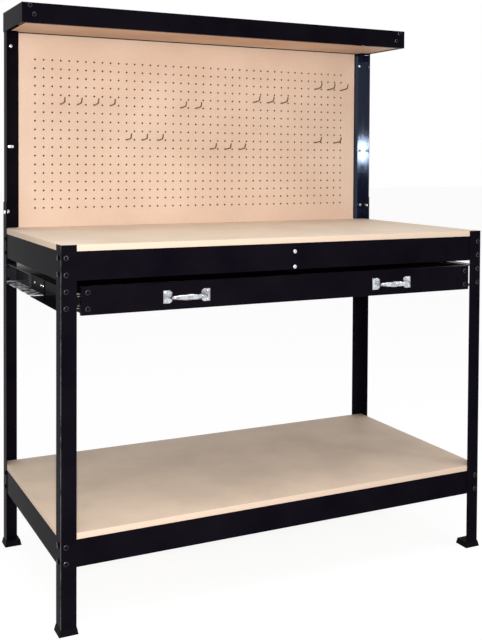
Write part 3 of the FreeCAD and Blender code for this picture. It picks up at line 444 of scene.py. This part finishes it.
def vertsOf(geometry):
    return [item for item in geometry if isinstance(item, bmesh.types.BMVert)]


def edgesOf(geometry):
    return [item for item in geometry if isinstance(item, bmesh.types.BMEdge)]


def facesOf(geometry):
    return [item for item in geometry if isinstance(item, bmesh.types.BMFace)]


def copyOf(name):
    # The mesh of a node in the frame, with its loose triangles joined.
    bm = bmesh.new()
    bm.from_mesh(nodes[name].data)
    bmesh.ops.remove_doubles(bm, verts=bm.verts, dist=0.01 * mm)
    return bm


def joinFlats(bm):
    bmesh.ops.dissolve_limit(bm, angle_limit=math.radians(1), verts=bm.verts, edges=bm.edges)


pegSheet = {
    "pitch": 25.0,
    "columns": 42,
    "rows": 18,
    "firstX": -515.5,
    "topRow": 1380.0,
    "hole": 5.4,
    "sides": 12,
    "wall": 1.45,
    "weld": 0.05,
}


def pegSkin(low, high):
    # The front skin: one square with a round hole, repeated over the board.
    bm = bmesh.new()
    sides = pegSheet["sides"]
    half = pegSheet["pitch"] / 2 * mm
    ring = bmesh.ops.create_circle(bm, segments=sides, radius=pegSheet["hole"] / 2 * mm)
    bmesh.ops.rotate(bm, verts=ring["verts"], matrix=Matrix.Rotation(math.pi / sides, 3, "Z"))
    spread = bmesh.ops.extrude_edge_only(bm, edges=bm.edges[:])
    for vert in vertsOf(spread["geom"]):
        vert.co *= half / max(abs(vert.co.x), abs(vert.co.y))
    bmesh.ops.rotate(bm, verts=bm.verts, matrix=Matrix.Rotation(math.pi / 2, 3, "X"))
    start = Vector((pegSheet["firstX"], 0, pegSheet["topRow"])) * mm
    bmesh.ops.translate(bm, verts=bm.verts, vec=start + Vector((0, low.y, 0)))
    tile = bm.verts[:] + bm.edges[:] + bm.faces[:]
    for i in range(1, pegSheet["columns"]):
        copy = bmesh.ops.duplicate(bm, geom=tile)
        bmesh.ops.translate(bm, verts=vertsOf(copy["geom"]), vec=(i * half * 2, 0, 0))
    row = bm.verts[:] + bm.edges[:] + bm.faces[:]
    for i in range(1, pegSheet["rows"]):
        copy = bmesh.ops.duplicate(bm, geom=row)
        bmesh.ops.translate(bm, verts=vertsOf(copy["geom"]), vec=(0, 0, -i * half * 2))
    bmesh.ops.remove_doubles(bm, verts=bm.verts, dist=pegSheet["weld"] * mm)
    lows = Vector(min(v.co[k] for v in bm.verts) for k in range(3))
    highs = Vector(max(v.co[k] for v in bm.verts) for k in range(3))
    rims = [e for e in bm.edges if e.is_boundary]
    border = [(0, lows.x, low.x), (0, highs.x, high.x), (2, lows.z, low.z), (2, highs.z, high.z)]
    outer = set()
    for axis, fieldEdge, boardEdge in border:
        side = []
        for edge in bm.edges:
            if edge.is_boundary and all(abs(v.co[axis] - fieldEdge) < 0.01 * mm for v in edge.verts):
                side.append(edge)
        outer.update(side)
        grown = bmesh.ops.extrude_edge_only(bm, edges=side)
        for vert in vertsOf(grown["geom"]):
            vert.co[axis] = boardEdge
    rims = [e for e in rims if e.is_valid and e not in outer and e.is_boundary]
    # The holes are lined a little way in and closed by discs in the hole colour: painted shade where the
    # board would be seen through.
    deep = bmesh.ops.extrude_edge_only(bm, edges=rims)
    bmesh.ops.translate(bm, verts=vertsOf(deep["geom"]), vec=(0, pegSheet["wall"] * mm, 0))
    for face in facesOf(deep["geom"]):
        face.material_index = 2
    shadeDiscs = bmesh.ops.holes_fill(bm, edges=edgesOf(deep["geom"]), sides=sides)
    for face in shadeDiscs["faces"]:
        face.material_index = 2
    return bm


def makePegboard():
    low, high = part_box("pegboard")
    bm = pegSkin(low, high)
    front = bm.verts[:] + bm.edges[:] + bm.faces[:]
    back = bmesh.ops.duplicate(bm, geom=front)
    centre = Matrix.Translation((0, (low.y + high.y) / 2, 0))
    flip = centre @ Matrix.Scale(-1, 4, (0, 1, 0)) @ centre.inverted()
    bmesh.ops.transform(bm, matrix=flip, verts=vertsOf(back["geom"]))
    for face in facesOf(back["geom"]):
        if face.material_index == 0:
            face.material_index = 1
    edges = [e for e in bm.edges if e.is_boundary]
    walls = bmesh.ops.bridge_loops(bm, edges=edges)
    for face in walls["faces"]:
        face.material_index = 1
    bmesh.ops.recalc_face_normals(bm, faces=bm.faces)
    return show(bm, "pegSheet", [pegFace, pegBack, pegHole], "bench", ["pegboard"], angle=20)


makePegboard()
print("pegboard made")


hook = {
    "wire": 4.0,
    "sides": 12,
    "reach": 45.0,
    "rise": 6.0,
    "bend": 7.0,
    "turn": 62.0,
    "tip": 11.0,
    "tail": 9.0,
    "tailBend": 3.4,
    "tailDeep": 5.4,
    "tipRound": 1.2,
    "bendSteps": 6,
}
hookRows = {
    "hooks_upper_left": 4,
    "hooks_lower_left": 3,
    "hooks_upper_middle": 2,
    "hooks_lower_middle": 3,
    "hooks_upper_right": 3,
    "hooks_top_right": 3,
    "hooks_lower_right": 2,
}


def swept(bm, loop, vector):
    grown = bmesh.ops.extrude_edge_only(bm, edges=loop)
    bmesh.ops.translate(bm, verts=vertsOf(grown["geom"]), vec=vector)
    return edgesOf(grown["geom"])


def curled(bm, loop, centre, axis, angle, steps):
    verts = list({v for e in loop for v in e.verts})
    spun = bmesh.ops.spin(bm, geom=verts + loop, cent=centre, axis=axis, dvec=(0, 0, 0),
                          angle=angle, steps=steps, use_merge=False)
    return edgesOf(spun["geom_last"])


def hookMesh():
    # Drawn from the tail behind the board to the tip, which ends rounded.
    bm = bmesh.new()
    rise = math.radians(hook["rise"])
    turn = math.radians(hook["turn"])
    radius = hook["wire"] / 2 * mm
    bend = hook["tailBend"] * mm
    back = hook["tailDeep"] * mm
    bmesh.ops.create_circle(bm, segments=hook["sides"], radius=radius, cap_ends=False)
    bmesh.ops.translate(bm, verts=bm.verts, vec=(0, back, hook["tail"] * mm))
    loop = swept(bm, bm.edges[:], (0, 0, bend - hook["tail"] * mm))
    loop = curled(bm, loop, (0, back - bend, bend), (1, 0, 0), -(math.pi / 2 + rise), hook["bendSteps"])
    ahead = Vector((0, -math.cos(rise), math.sin(rise)))
    loop = swept(bm, loop, ahead * (hook["reach"] - hook["bend"]) * mm)
    spot = sum((v.co for e in loop for v in e.verts), Vector()) / (2 * len(loop))
    above = Vector((0, math.sin(rise), math.cos(rise)))
    loop = curled(bm, loop, spot + above * hook["bend"] * mm, (1, 0, 0), -turn, hook["bendSteps"])
    final = Vector((0, -math.cos(rise + turn), math.sin(rise + turn)))
    loop = swept(bm, loop, final * hook["tip"] * mm)
    bmesh.ops.remove_doubles(bm, verts=bm.verts, dist=0.02 * mm)
    ends = [e for e in bm.edges if e.is_boundary]
    caps = bmesh.ops.holes_fill(bm, edges=ends, sides=hook["sides"])["faces"]
    rim = list({e for face in caps for e in face.edges})
    bmesh.ops.bevel(bm, geom=rim, offset=hook["tipRound"] * mm, segments=3, profile=0.5,
                    affect="EDGES", material=-1)
    bmesh.ops.recalc_face_normals(bm, faces=bm.faces)
    return bm


def makeHooks(name, count):
    low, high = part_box(name)
    bm = hookMesh()
    lowest = min(v.co.z for v in bm.verts)
    first = low.x + hook["wire"] / 2 * mm
    last = high.x - hook["wire"] / 2 * mm
    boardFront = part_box("pegboard")[0].y
    bmesh.ops.translate(bm, verts=bm.verts, vec=(first, boardFront, low.z - lowest))
    one = bm.verts[:] + bm.edges[:] + bm.faces[:]
    for i in range(1, count):
        copy = bmesh.ops.duplicate(bm, geom=one)
        step = (last - first) / (count - 1) * i
        bmesh.ops.translate(bm, verts=vertsOf(copy["geom"]), vec=(step, 0, 0))
    return show(bm, name + "_wire", [hookWire], "bench", [name], angle=60)


for hookName, hookCount in hookRows.items():
    makeHooks(hookName, hookCount)
print("hooks made")


# Pairs are shares of a head's radius and of its height.
hexagon = {
    "shoulder": (0.60, 0.80),  # at the corners and at the flats' middles
    "chamfer": (0.90, 0.94),
    "crown": (0.68, 1.0),
    "dish": ((0.50, 1.0), (0.43, 0.93)),
    "thread": 6.0,
    "nutRings": ((1.12, 1.0), (1.0, 0.90), (0.96, 0.80), (0.72, 0.88)),  # of the thread's radius
}
pan = {
    "dome": (0.72, 0.94),
    "rings": ((0.92, 0.70), (1.0, 0.38), (1.0, 0.0)),
    "arm": 0.10,
    "reach": 0.44,
    "deep": 0.42,
    "draft": 0.035,
}
clip = {
    "sides": 16,
    "plate": 0.54,
    "edge": 0.4,
    "screw": 0.74,
}
clamp = {
    "reach": 12.0,
    "least": 0.1,
    "aside": 0.6,
}
fastenerFinish = {
    "frame_bolts": ([boltMetal, boltCorner], "bench", "black_bolts"),
    "drawer_bolts": ([boltMetal, boltCorner], "drawer", "black_bolts"),
    "bright_bolts": ([screwMetal, screwMetal], "bench", "bright_screws"),
    "handle_screws": ([screwMetal, screwMetal], "drawer", "bright_screws"),
}


def turnedRing(bm, loop, radius, height):
    # The next ring of a turned head: drawn out to a circle and set at a height.
    grown = bmesh.ops.extrude_edge_only(bm, edges=loop)
    for vert in vertsOf(grown["geom"]):
        vert.co.z = 0
        vert.co = vert.co.normalized() * radius
        vert.co.z = height
    return edgesOf(grown["geom"])


def stamped(bm):
    ends = [e for e in bm.edges if e.is_boundary]
    if ends:
        bmesh.ops.holes_fill(bm, edges=ends, sides=24)
    bmesh.ops.recalc_face_normals(bm, faces=bm.faces)
    mesh = bpy.data.meshes.new("stamp")
    bm.to_mesh(mesh)
    bm.free()
    return mesh


def hexHead(across, tall, isNut):
    # Corners and middles of the flats by turns, and a round chamfer above them.
    bm = bmesh.new()
    step = math.pi / 6
    radius = across / 2
    bmesh.ops.create_circle(bm, segments=12, radius=radius / math.cos(step))
    middles = [v for v in bm.verts if round(math.atan2(v.co.y, v.co.x) / step) % 2 == 0]
    for vert in middles:
        vert.co *= math.cos(step)
    low, high = hexagon["shoulder"]
    rise = bmesh.ops.extrude_edge_only(bm, edges=bm.edges[:])
    for vert in vertsOf(rise["geom"]):
        isMiddle = round(math.atan2(vert.co.y, vert.co.x) / step) % 2 == 0
        vert.co.z = tall * (high if isMiddle else low)
    share, height = hexagon["chamfer"]
    loop = turnedRing(bm, edgesOf(rise["geom"]), radius * share, tall * height)
    chamfer = [edge.link_faces[0] for edge in loop]
    share, height = hexagon["crown"]
    loop = turnedRing(bm, loop, radius * share, tall * height)
    rings = hexagon["dish"]
    if isNut:
        rings = hexagon["nutRings"]
        radius = hexagon["thread"] / 2 * mm
    for share, height in rings:
        loop = turnedRing(bm, loop, radius * share, tall * height)
    for face in chamfer:
        face.material_index = 1
    return stamped(bm)


def panHead(across, tall):
    # A grid whose rim is drawn out to a dome, with a cross pressed in its middle: the grid
    # runs from -1 to 1, and the cross is its middle face with the four beside it.
    bm = bmesh.new()
    bmesh.ops.create_grid(bm, x_segments=5, y_segments=5, size=1.0)
    radius = across / 2
    pressed = []
    for face in bm.faces:
        middle = face.calc_center_median()
        if abs(middle.x) + abs(middle.y) < 0.5:
            pressed.append(face)
    loop = [e for e in bm.edges if e.is_boundary]
    outer = {v for e in loop for v in e.verts}
    share, height = pan["dome"]
    for vert in bm.verts:
        if vert in outer:
            vert.co = vert.co.normalized() * radius * share
            vert.co.z = tall * height
        else:
            for k in (0, 1):
                reach = pan["arm"] if abs(vert.co[k]) < 0.4 else pan["reach"]
                vert.co[k] = math.copysign(radius * reach, vert.co[k])
            vert.co.z = tall
    bmesh.ops.inset_region(bm, faces=pressed, thickness=radius * pan["draft"], depth=-tall * pan["deep"],
                           use_even_offset=True)
    for share, height in pan["rings"]:
        loop = turnedRing(bm, loop, radius * share, tall * height)
    return stamped(bm)


def clipHead(across, wide, tall):
    # An oblong pressed plate with a small screw in its middle.
    bm = bmesh.new()
    bmesh.ops.create_circle(bm, segments=clip["sides"], radius=wide / 2, cap_ends=True)
    bmesh.ops.rotate(bm, verts=bm.verts, matrix=Matrix.Rotation(math.pi / clip["sides"], 3, "Z"))
    for vert in bm.verts:
        vert.co.x += math.copysign((across - wide) / 2, vert.co.x)
    base = tall * clip["plate"]
    raised = bmesh.ops.extrude_face_region(bm, geom=bm.faces[:])
    bmesh.ops.translate(bm, verts=vertsOf(raised["geom"]), vec=(0, 0, base))
    edge = [e for e in bm.edges if all(v.co.z > base / 2 for v in e.verts)]
    bmesh.ops.bevel(bm, geom=edge, offset=base * clip["edge"], segments=2, profile=0.5,
                    affect="EDGES", material=-1)
    bmesh.ops.recalc_face_normals(bm, faces=bm.faces)
    screw = panHead(wide * clip["screw"], tall - base)
    count = len(bm.verts)
    bm.from_mesh(screw)
    bm.verts.ensure_lookup_table()
    bmesh.ops.translate(bm, verts=bm.verts[count:], vec=(0, 0, base))
    mesh = bpy.data.meshes.new("stamp")
    bm.to_mesh(mesh)
    bm.free()
    return mesh


def islandsOf(name):
    # The middle and the size of each separate solid in a node.
    bm = copyOf(name)
    found, seen = [], set()
    for start in bm.verts:
        if start in seen:
            continue
        seen.add(start)
        queue, island = [start], []
        while queue:
            vert = queue.pop()
            island.append(vert.co.copy())
            for edge in vert.link_edges:
                other = edge.other_vert(vert)
                if other not in seen:
                    seen.add(other)
                    queue.append(other)
        low = Vector([min(point[k] for point in island) for k in range(3)])
        high = Vector([max(point[k] for point in island) for k in range(3)])
        found.append(((low + high) / 2, high - low))
    bm.free()
    return found


def facing(place, axis, islands):
    # A head looks away from the nut that it is clamped by, and a lone one looks outwards.
    for other, size in islands:
        gap = place - other
        aside = [abs(gap[k]) for k in range(3) if k != axis]
        isClose = clamp["least"] * mm < abs(gap[axis]) < clamp["reach"] * mm
        if isClose and max(aside) < clamp["aside"] * mm:
            return math.copysign(1, gap[axis])
    return math.copysign(1, place.x) if axis == 0 else -1


sorting = {
    "nutTall": 4.0,
    "clipLong": 1.5,
    "roundWithin": 0.5,
}
stamps = {}


def stampFor(across, wide, tall):
    # Nuts are the tall ones, clips the long ones, and a round head is as wide as long.
    key = (round(across / mm, 1), round(wide / mm, 1), round(tall / mm, 1))
    if key not in stamps:
        if tall > sorting["nutTall"] * mm:
            stamps[key] = hexHead(across, tall, True)
        elif across > sorting["clipLong"] * wide:
            stamps[key] = clipHead(across, wide, tall)
        elif abs(across - wide) < sorting["roundWithin"] * mm:
            stamps[key] = panHead(across, tall)
        else:
            stamps[key] = hexHead(across, tall, False)
    return stamps[key]


def makeFasteners(name, materials, body, slotName):
    bm = bmesh.new()
    islands = islandsOf(name)
    for place, size in islands:
        axis = min(range(3), key=lambda k: size[k])
        way = facing(place, axis, islands)
        ahead = Vector([way if k == axis else 0 for k in range(3)])
        along = Vector((0, 0, 1)) if axis == 0 else Vector((1, 0, 0))
        aside = ahead.cross(along)
        across, wide = (size.z, size.y) if axis == 0 else (size.x, size.z)
        count = len(bm.verts)
        bm.from_mesh(stampFor(across, wide, size[axis]))
        bm.verts.ensure_lookup_table()
        turn = Matrix((along, aside, ahead)).transposed().to_4x4()
        seat = Matrix.Translation(place - ahead * size[axis] / 2)
        bmesh.ops.transform(bm, matrix=seat @ turn, verts=bm.verts[count:])
    return show(bm, name + "_made", materials, body, [name], angle=40)


for fastenerName, fastenerSettings in fastenerFinish.items():
    makeFasteners(fastenerName, *fastenerSettings)
print("fasteners made")


grab = {
    "plate": (23.0, 31.0, 2.5),
    "plateRound": 0.9,
    "waist": 0.74,
    "innerHalf": 10.5,
    "long": 122.0,
    "reach": 30.0,
    "grip": 16.0,
    "neck": 4.9,
    "flare": 6.0,
    "foot": 43.6,
    "bend": 8.0,
    "bendSteps": 7,
    "root": (1.5, 2.5),
    "sunk": 1.0,
    "flutes": 7,
    "fluteDeep": 0.08,
    "twist": 120.0,
    "steps": 22,
    "swell": 0.6,
}


def gripStep(bm, loop, vector, share, twist=0.0):
    loop = swept(bm, loop, vector)
    verts = list({v for e in loop for v in e.verts})
    centre = sum((v.co for v in verts), Vector()) / len(verts)
    bmesh.ops.scale(bm, verts=verts, vec=(share, share, share), space=Matrix.Translation(-centre))
    bmesh.ops.rotate(bm, verts=verts, cent=centre, matrix=Matrix.Rotation(twist, 3, vector))
    return loop


def addGrip(bm):
    # A fluted ring is drawn out of one plate, bent, swelled and twisted, and bent back.
    neck, flare, foot, bend = [grab[key] * mm for key in ("neck", "flare", "foot", "bend")]
    collar, taper, sunk = grab["root"][0] * mm, grab["root"][1] * mm, grab["sunk"] * mm
    axis = (grab["reach"] - grab["grip"] / 2) * mm
    post = axis - bend - collar - taper - sunk
    ring = bmesh.ops.create_circle(bm, segments=grab["flutes"] * 4, radius=flare)["verts"]
    for vert in ring:
        angle = math.atan2(vert.co.y, vert.co.x)
        vert.co *= 1 - grab["fluteDeep"] * (0.5 - 0.5 * math.cos(grab["flutes"] * angle))
    bmesh.ops.rotate(bm, verts=ring, matrix=Matrix.Rotation(math.pi / 2, 3, "X"))
    bmesh.ops.translate(bm, verts=ring, vec=(-foot, -sunk, 0))
    loop = list({e for v in ring for e in v.link_edges})
    out = Vector((0, -1, 0))
    loop = gripStep(bm, loop, out * collar, 1.0)
    loop = gripStep(bm, loop, out * taper, neck / flare)
    loop = gripStep(bm, loop, out * post, 1.0)
    loop = curled(bm, loop, (-foot + bend, bend - axis, 0), (0, 0, 1), math.pi / 2, grab["bendSteps"])
    stride = Vector((2 * (foot - bend) / grab["steps"], 0, 0))
    twist = math.radians(grab["twist"]) / grab["steps"]
    swell = grab["grip"] / 2 * mm - neck
    radius = neck
    for i in range(grab["steps"]):
        share = (i + 1) / grab["steps"]
        wanted = neck + swell * max(math.sin(math.pi * share), 0.0) ** grab["swell"]
        loop = gripStep(bm, loop, stride, wanted / radius, twist)
        radius = wanted
    loop = curled(bm, loop, (foot - bend, bend - axis, 0), (0, 0, 1), math.pi / 2, grab["bendSteps"])
    loop = gripStep(bm, loop, -out * post, 1.0)
    loop = gripStep(bm, loop, -out * taper, flare / neck)
    loop = gripStep(bm, loop, -out * collar, 1.0)
    bmesh.ops.remove_doubles(bm, verts=bm.verts, dist=0.02 * mm)
    bmesh.ops.holes_fill(bm, edges=[e for e in bm.edges if e.is_boundary], sides=grab["flutes"] * 4)


def addPlate(bm, end):
    # One end plate: a rectangle whose inner side is drawn in beyond its waist.
    wide, tall, thick = grab["plate"]
    outer = grab["long"] / 2
    inner = outer - wide
    waist = outer - wide * grab["waist"]
    corners = [(outer, -tall / 2), (outer, tall / 2), (waist, tall / 2),
               (inner, grab["innerHalf"]), (inner, -grab["innerHalf"]), (waist, -tall / 2)]
    verts = [bm.verts.new((x * end * mm, 0, z * mm)) for x, z in corners]
    face = bm.faces.new(verts)
    raised = bmesh.ops.extrude_face_region(bm, geom=[face])
    top = vertsOf(raised["geom"])
    bmesh.ops.translate(bm, verts=top, vec=(0, -thick * mm, 0))
    bevelled = list({e for v in top for e in v.link_edges})
    bmesh.ops.bevel(bm, geom=bevelled, offset=grab["plateRound"] * mm, segments=3, profile=0.5,
                    affect="EDGES", material=-1)


def makeHandle(name):
    low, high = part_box(name)
    bm = bmesh.new()
    addGrip(bm)
    addPlate(bm, -1)
    addPlate(bm, 1)
    bmesh.ops.recalc_face_normals(bm, faces=bm.faces)
    middle = ((low.x + high.x) / 2, high.y, (low.z + high.z) / 2)
    bmesh.ops.translate(bm, verts=bm.verts, vec=middle)
    return show(bm, name + "_cast", [chromeMottledReflections], "drawer", [name], angle=50)


makeHandle("left_handle")
makeHandle("right_handle")
print("handles made")


retainer = {
    "wall": 0.8,
    "webMiddle": 2.1,
    "ballOut": 5.588,
    "armReach": 8.49,
    "armHigh": 13.85,
    "face": 567.0,
    "long": 122.0,
    "cells": 4,
    "seat": 6.4,
    "ball": 4.8,
    "seatRim": 0.5,
    "slotRim": 1.6,
    "cornerCut": 0.7,
    "foldRound": 0.9,
}


def makeRetainer(name, side):
    # A channel drawn along the slide in short lengths, then punched at each ball and in its web.
    # The outline's first numbers are measured inwards from the slide's outer face.
    low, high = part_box(name)
    middle = (low.z + high.z) / 2
    bm = bmesh.new()
    web, reach, rise = retainer["webMiddle"], retainer["armReach"], retainer["armHigh"]
    outline = [(reach, -rise), (web, -rise), (web, rise), (reach, rise)]
    verts = []
    for inwards, up in outline:
        verts.append(bm.verts.new((side * (retainer["face"] - inwards) * mm, low.y, middle + up * mm)))
    loop = [bm.edges.new(pair) for pair in zip(verts, verts[1:])]
    step = retainer["long"] / retainer["cells"]
    gap = (step - retainer["seat"]) / 2
    arms, webs = [], []
    for i in range(retainer["cells"]):
        loop = swept(bm, loop, (0, gap * mm, 0))
        loop = swept(bm, loop, (0, retainer["seat"] * mm, 0))
        for edge in loop:
            isWeb = abs(edge.verts[0].co.z - edge.verts[1].co.z) > rise * mm
            (webs if isWeb else arms).append(edge.link_faces[0])
        loop = swept(bm, loop, (0, gap * mm, 0))
    bmesh.ops.inset_individual(bm, faces=arms, thickness=retainer["seatRim"] * mm)
    bmesh.ops.inset_individual(bm, faces=webs, thickness=retainer["slotRim"] * mm)
    corners = list({v for face in arms + webs for v in face.verts})
    bmesh.ops.delete(bm, geom=arms + webs, context="FACES")
    bmesh.ops.bevel(bm, geom=corners, offset=retainer["cornerCut"] * mm, segments=2, profile=0.5,
                    affect="VERTICES", material=-1)
    folds = [e for e in bm.edges if not e.is_boundary and e.calc_face_angle(0) > 1]
    bmesh.ops.bevel(bm, geom=folds, offset=retainer["foldRound"] * mm, segments=3, profile=0.5,
                    affect="EDGES", material=-1)
    body = name.replace("_ball", "")
    channel = show(bm, name + "_strip", [zincPlate], body, [name])
    wall = channel.modifiers.new("wall", "SOLIDIFY")
    wall.thickness = retainer["wall"] * mm
    wall.offset = 0
    wall.use_even_offset = True
    balls = bmesh.new()
    ballX = side * (retainer["face"] - retainer["ballOut"]) * mm
    for i in range(retainer["cells"]):
        ballY = low.y + step * (i + 0.5) * mm
        for way in (-1, 1):
            seat = Matrix.Translation((ballX, ballY, middle + way * rise * mm))
            bmesh.ops.create_icosphere(balls, subdivisions=3, radius=retainer["ball"] / 2 * mm, matrix=seat)
    show(balls, name.replace("retainer", "bearings"), [screwMetal], body, angle=80)


makeRetainer("left_ball_retainer", -1)
makeRetainer("right_ball_retainer", 1)
print("ball retainers made")


boardEdge = {"round": 1.0, "segments": 3}
boardNodes = {
    "worktop_board": (topBoard, "cream_board"),
    "shelf_board": (shelfBoard, "shelf_board"),
}


def makeBoardPanel(name, material, slotName):
    # The board as it is in the frame, with its sharp edges broken.
    bm = copyOf(name)
    joinFlats(bm)
    sharp = [e for e in bm.edges if e.calc_face_angle(0) > 1]
    bmesh.ops.bevel(bm, geom=sharp, offset=boardEdge["round"] * mm, segments=boardEdge["segments"],
                    profile=0.5, affect="EDGES", material=-1)
    return show(bm, name + "_panel", [material], "bench", [name], angle=50)


for boardName, boardSettings in boardNodes.items():
    makeBoardPanel(boardName, *boardSettings)
print("boards made")


strip = {
    "rise": 3.0,
    "gap": 0.3,
}


def makeStrip(name, leg, side):
    # Drawn up to close the slit under the top rim, and down beside the leg to the worktop.
    bm = copyOf(name)
    joinFlats(bm)
    low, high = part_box(name)
    upper = [v for v in bm.verts if v.co.z > high.z - 0.1 * mm]
    bmesh.ops.translate(bm, verts=upper, vec=(0, 0, strip["rise"] * mm))
    gap = strip["gap"] * mm
    legLow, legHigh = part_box(leg)
    cut = min(abs(legLow.x), abs(legHigh.x)) - gap
    geometry = bm.verts[:] + bm.edges[:] + bm.faces[:]
    bmesh.ops.bisect_plane(bm, geom=geometry, plane_co=(side * cut, 0, 0), plane_no=(1, 0, 0))
    bm.normal_update()
    foot = [f for f in bm.faces if f.normal.z < -0.5 and abs(f.calc_center_median().x) < cut]
    drawn = bmesh.ops.extrude_face_region(bm, geom=foot)
    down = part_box("worktop_board")[1].z + gap - low.z
    bmesh.ops.translate(bm, verts=vertsOf(drawn["geom"]), vec=(0, 0, down))
    bmesh.ops.recalc_face_normals(bm, faces=bm.faces)
    return show(bm, name + "_lapped", [blackPaint], "bench", [name], smooth=False)


makeStrip("left_strip", "rear_left_leg", -1)
makeStrip("right_strip", "rear_right_leg", 1)
print("strips made")


light = {
    "ambient": 0.50,
    "lamps": {
        "flashLight": {"place": (-1.20, -2.45, 1.158), "size": (0.07, 0.13), "power": 46.0},
        "softLight": {"place": (-1.7, -2.9, 1.65), "size": (1.0, 0.9), "power": 22.0},
        "rightLight": {"place": (2.2, -2.3, 2.7), "size": (0.24, 0.24), "power": 8.0},
        "ceilingLight": {"place": (-0.2, -0.9, 4.2), "size": (3.0, 2.2), "power": 42.0},
    },
    "aim": (0, 0, 0.9),
}
stage = {
    "half": 30,
    "colour": (0.86, 0.86, 0.86),
    "rough": 0.9,
    "glow": 1.08,
    "glowShare": 0.82,
}


def makeLamp(name, settings):
    data = bpy.data.lights.new(name, "AREA")
    data.shape = "RECTANGLE"
    data.size, data.size_y = settings["size"]
    data.energy = settings["power"]
    lamp = bpy.data.objects.new(name, data)
    lamp.location = settings["place"]
    lamp.visible_camera = False
    aim = Vector(light["aim"]) - Vector(settings["place"])
    lamp.rotation_euler = aim.to_track_quat("-Z", "Y").to_euler()
    bpy.context.scene.collection.objects.link(lamp)


def seenRay(tree):
    # One where the camera, a reflection or a refraction looks, so that the backdrop is white there.
    path = tree.nodes.new("ShaderNodeLightPath")
    either = reckon(tree, "MAXIMUM", path.outputs["Is Camera Ray"], path.outputs["Is Glossy Ray"])
    return reckon(tree, "MAXIMUM", either, path.outputs["Is Transmission Ray"])


def makeWorld():
    world = bpy.data.worlds.new("studio")
    world.use_nodes = True
    tree = world.node_tree
    sky = tree.nodes["Background"]
    sky.inputs["Color"].default_value = (1, 1, 1, 1)
    tree.links.new(stretch(tree, seenRay(tree), light["ambient"], 1.0), sky.inputs["Strength"])
    bpy.context.scene.world = world


def makeFloor():
    bm = bmesh.new()
    bmesh.ops.create_grid(bm, x_segments=1, y_segments=1, size=stage["half"])
    mesh = bpy.data.meshes.new("studioFloor")
    bm.to_mesh(mesh)
    bm.free()
    floor = bpy.data.objects.new("studioFloor", mesh)
    bpy.context.scene.collection.objects.link(floor)
    material, tree, shader = newMaterial("studioFloor")
    shader.inputs["Base Color"].default_value = (*stage["colour"], 1)
    shader.inputs["Roughness"].default_value = stage["rough"]
    shader.inputs["Specular IOR Level"].default_value = 0.0
    glow = tree.nodes.new("ShaderNodeEmission")
    glow.inputs["Color"].default_value = (1, 1, 1, 1)
    glow.inputs["Strength"].default_value = stage["glow"]
    mix = tree.nodes.new("ShaderNodeMixShader")
    tree.links.new(stretch(tree, seenRay(tree), 0.0, stage["glowShare"]), mix.inputs["Fac"])
    tree.links.new(shader.outputs["BSDF"], mix.inputs[1])
    tree.links.new(glow.outputs["Emission"], mix.inputs[2])
    tree.links.new(mix.outputs["Shader"], tree.nodes["Material Output"].inputs["Surface"])
    mesh.materials.append(material)


makeWorld()
makeFloor()
for lampName, lampSettings in light["lamps"].items():
    makeLamp(lampName, lampSettings)
print("floor and light set")
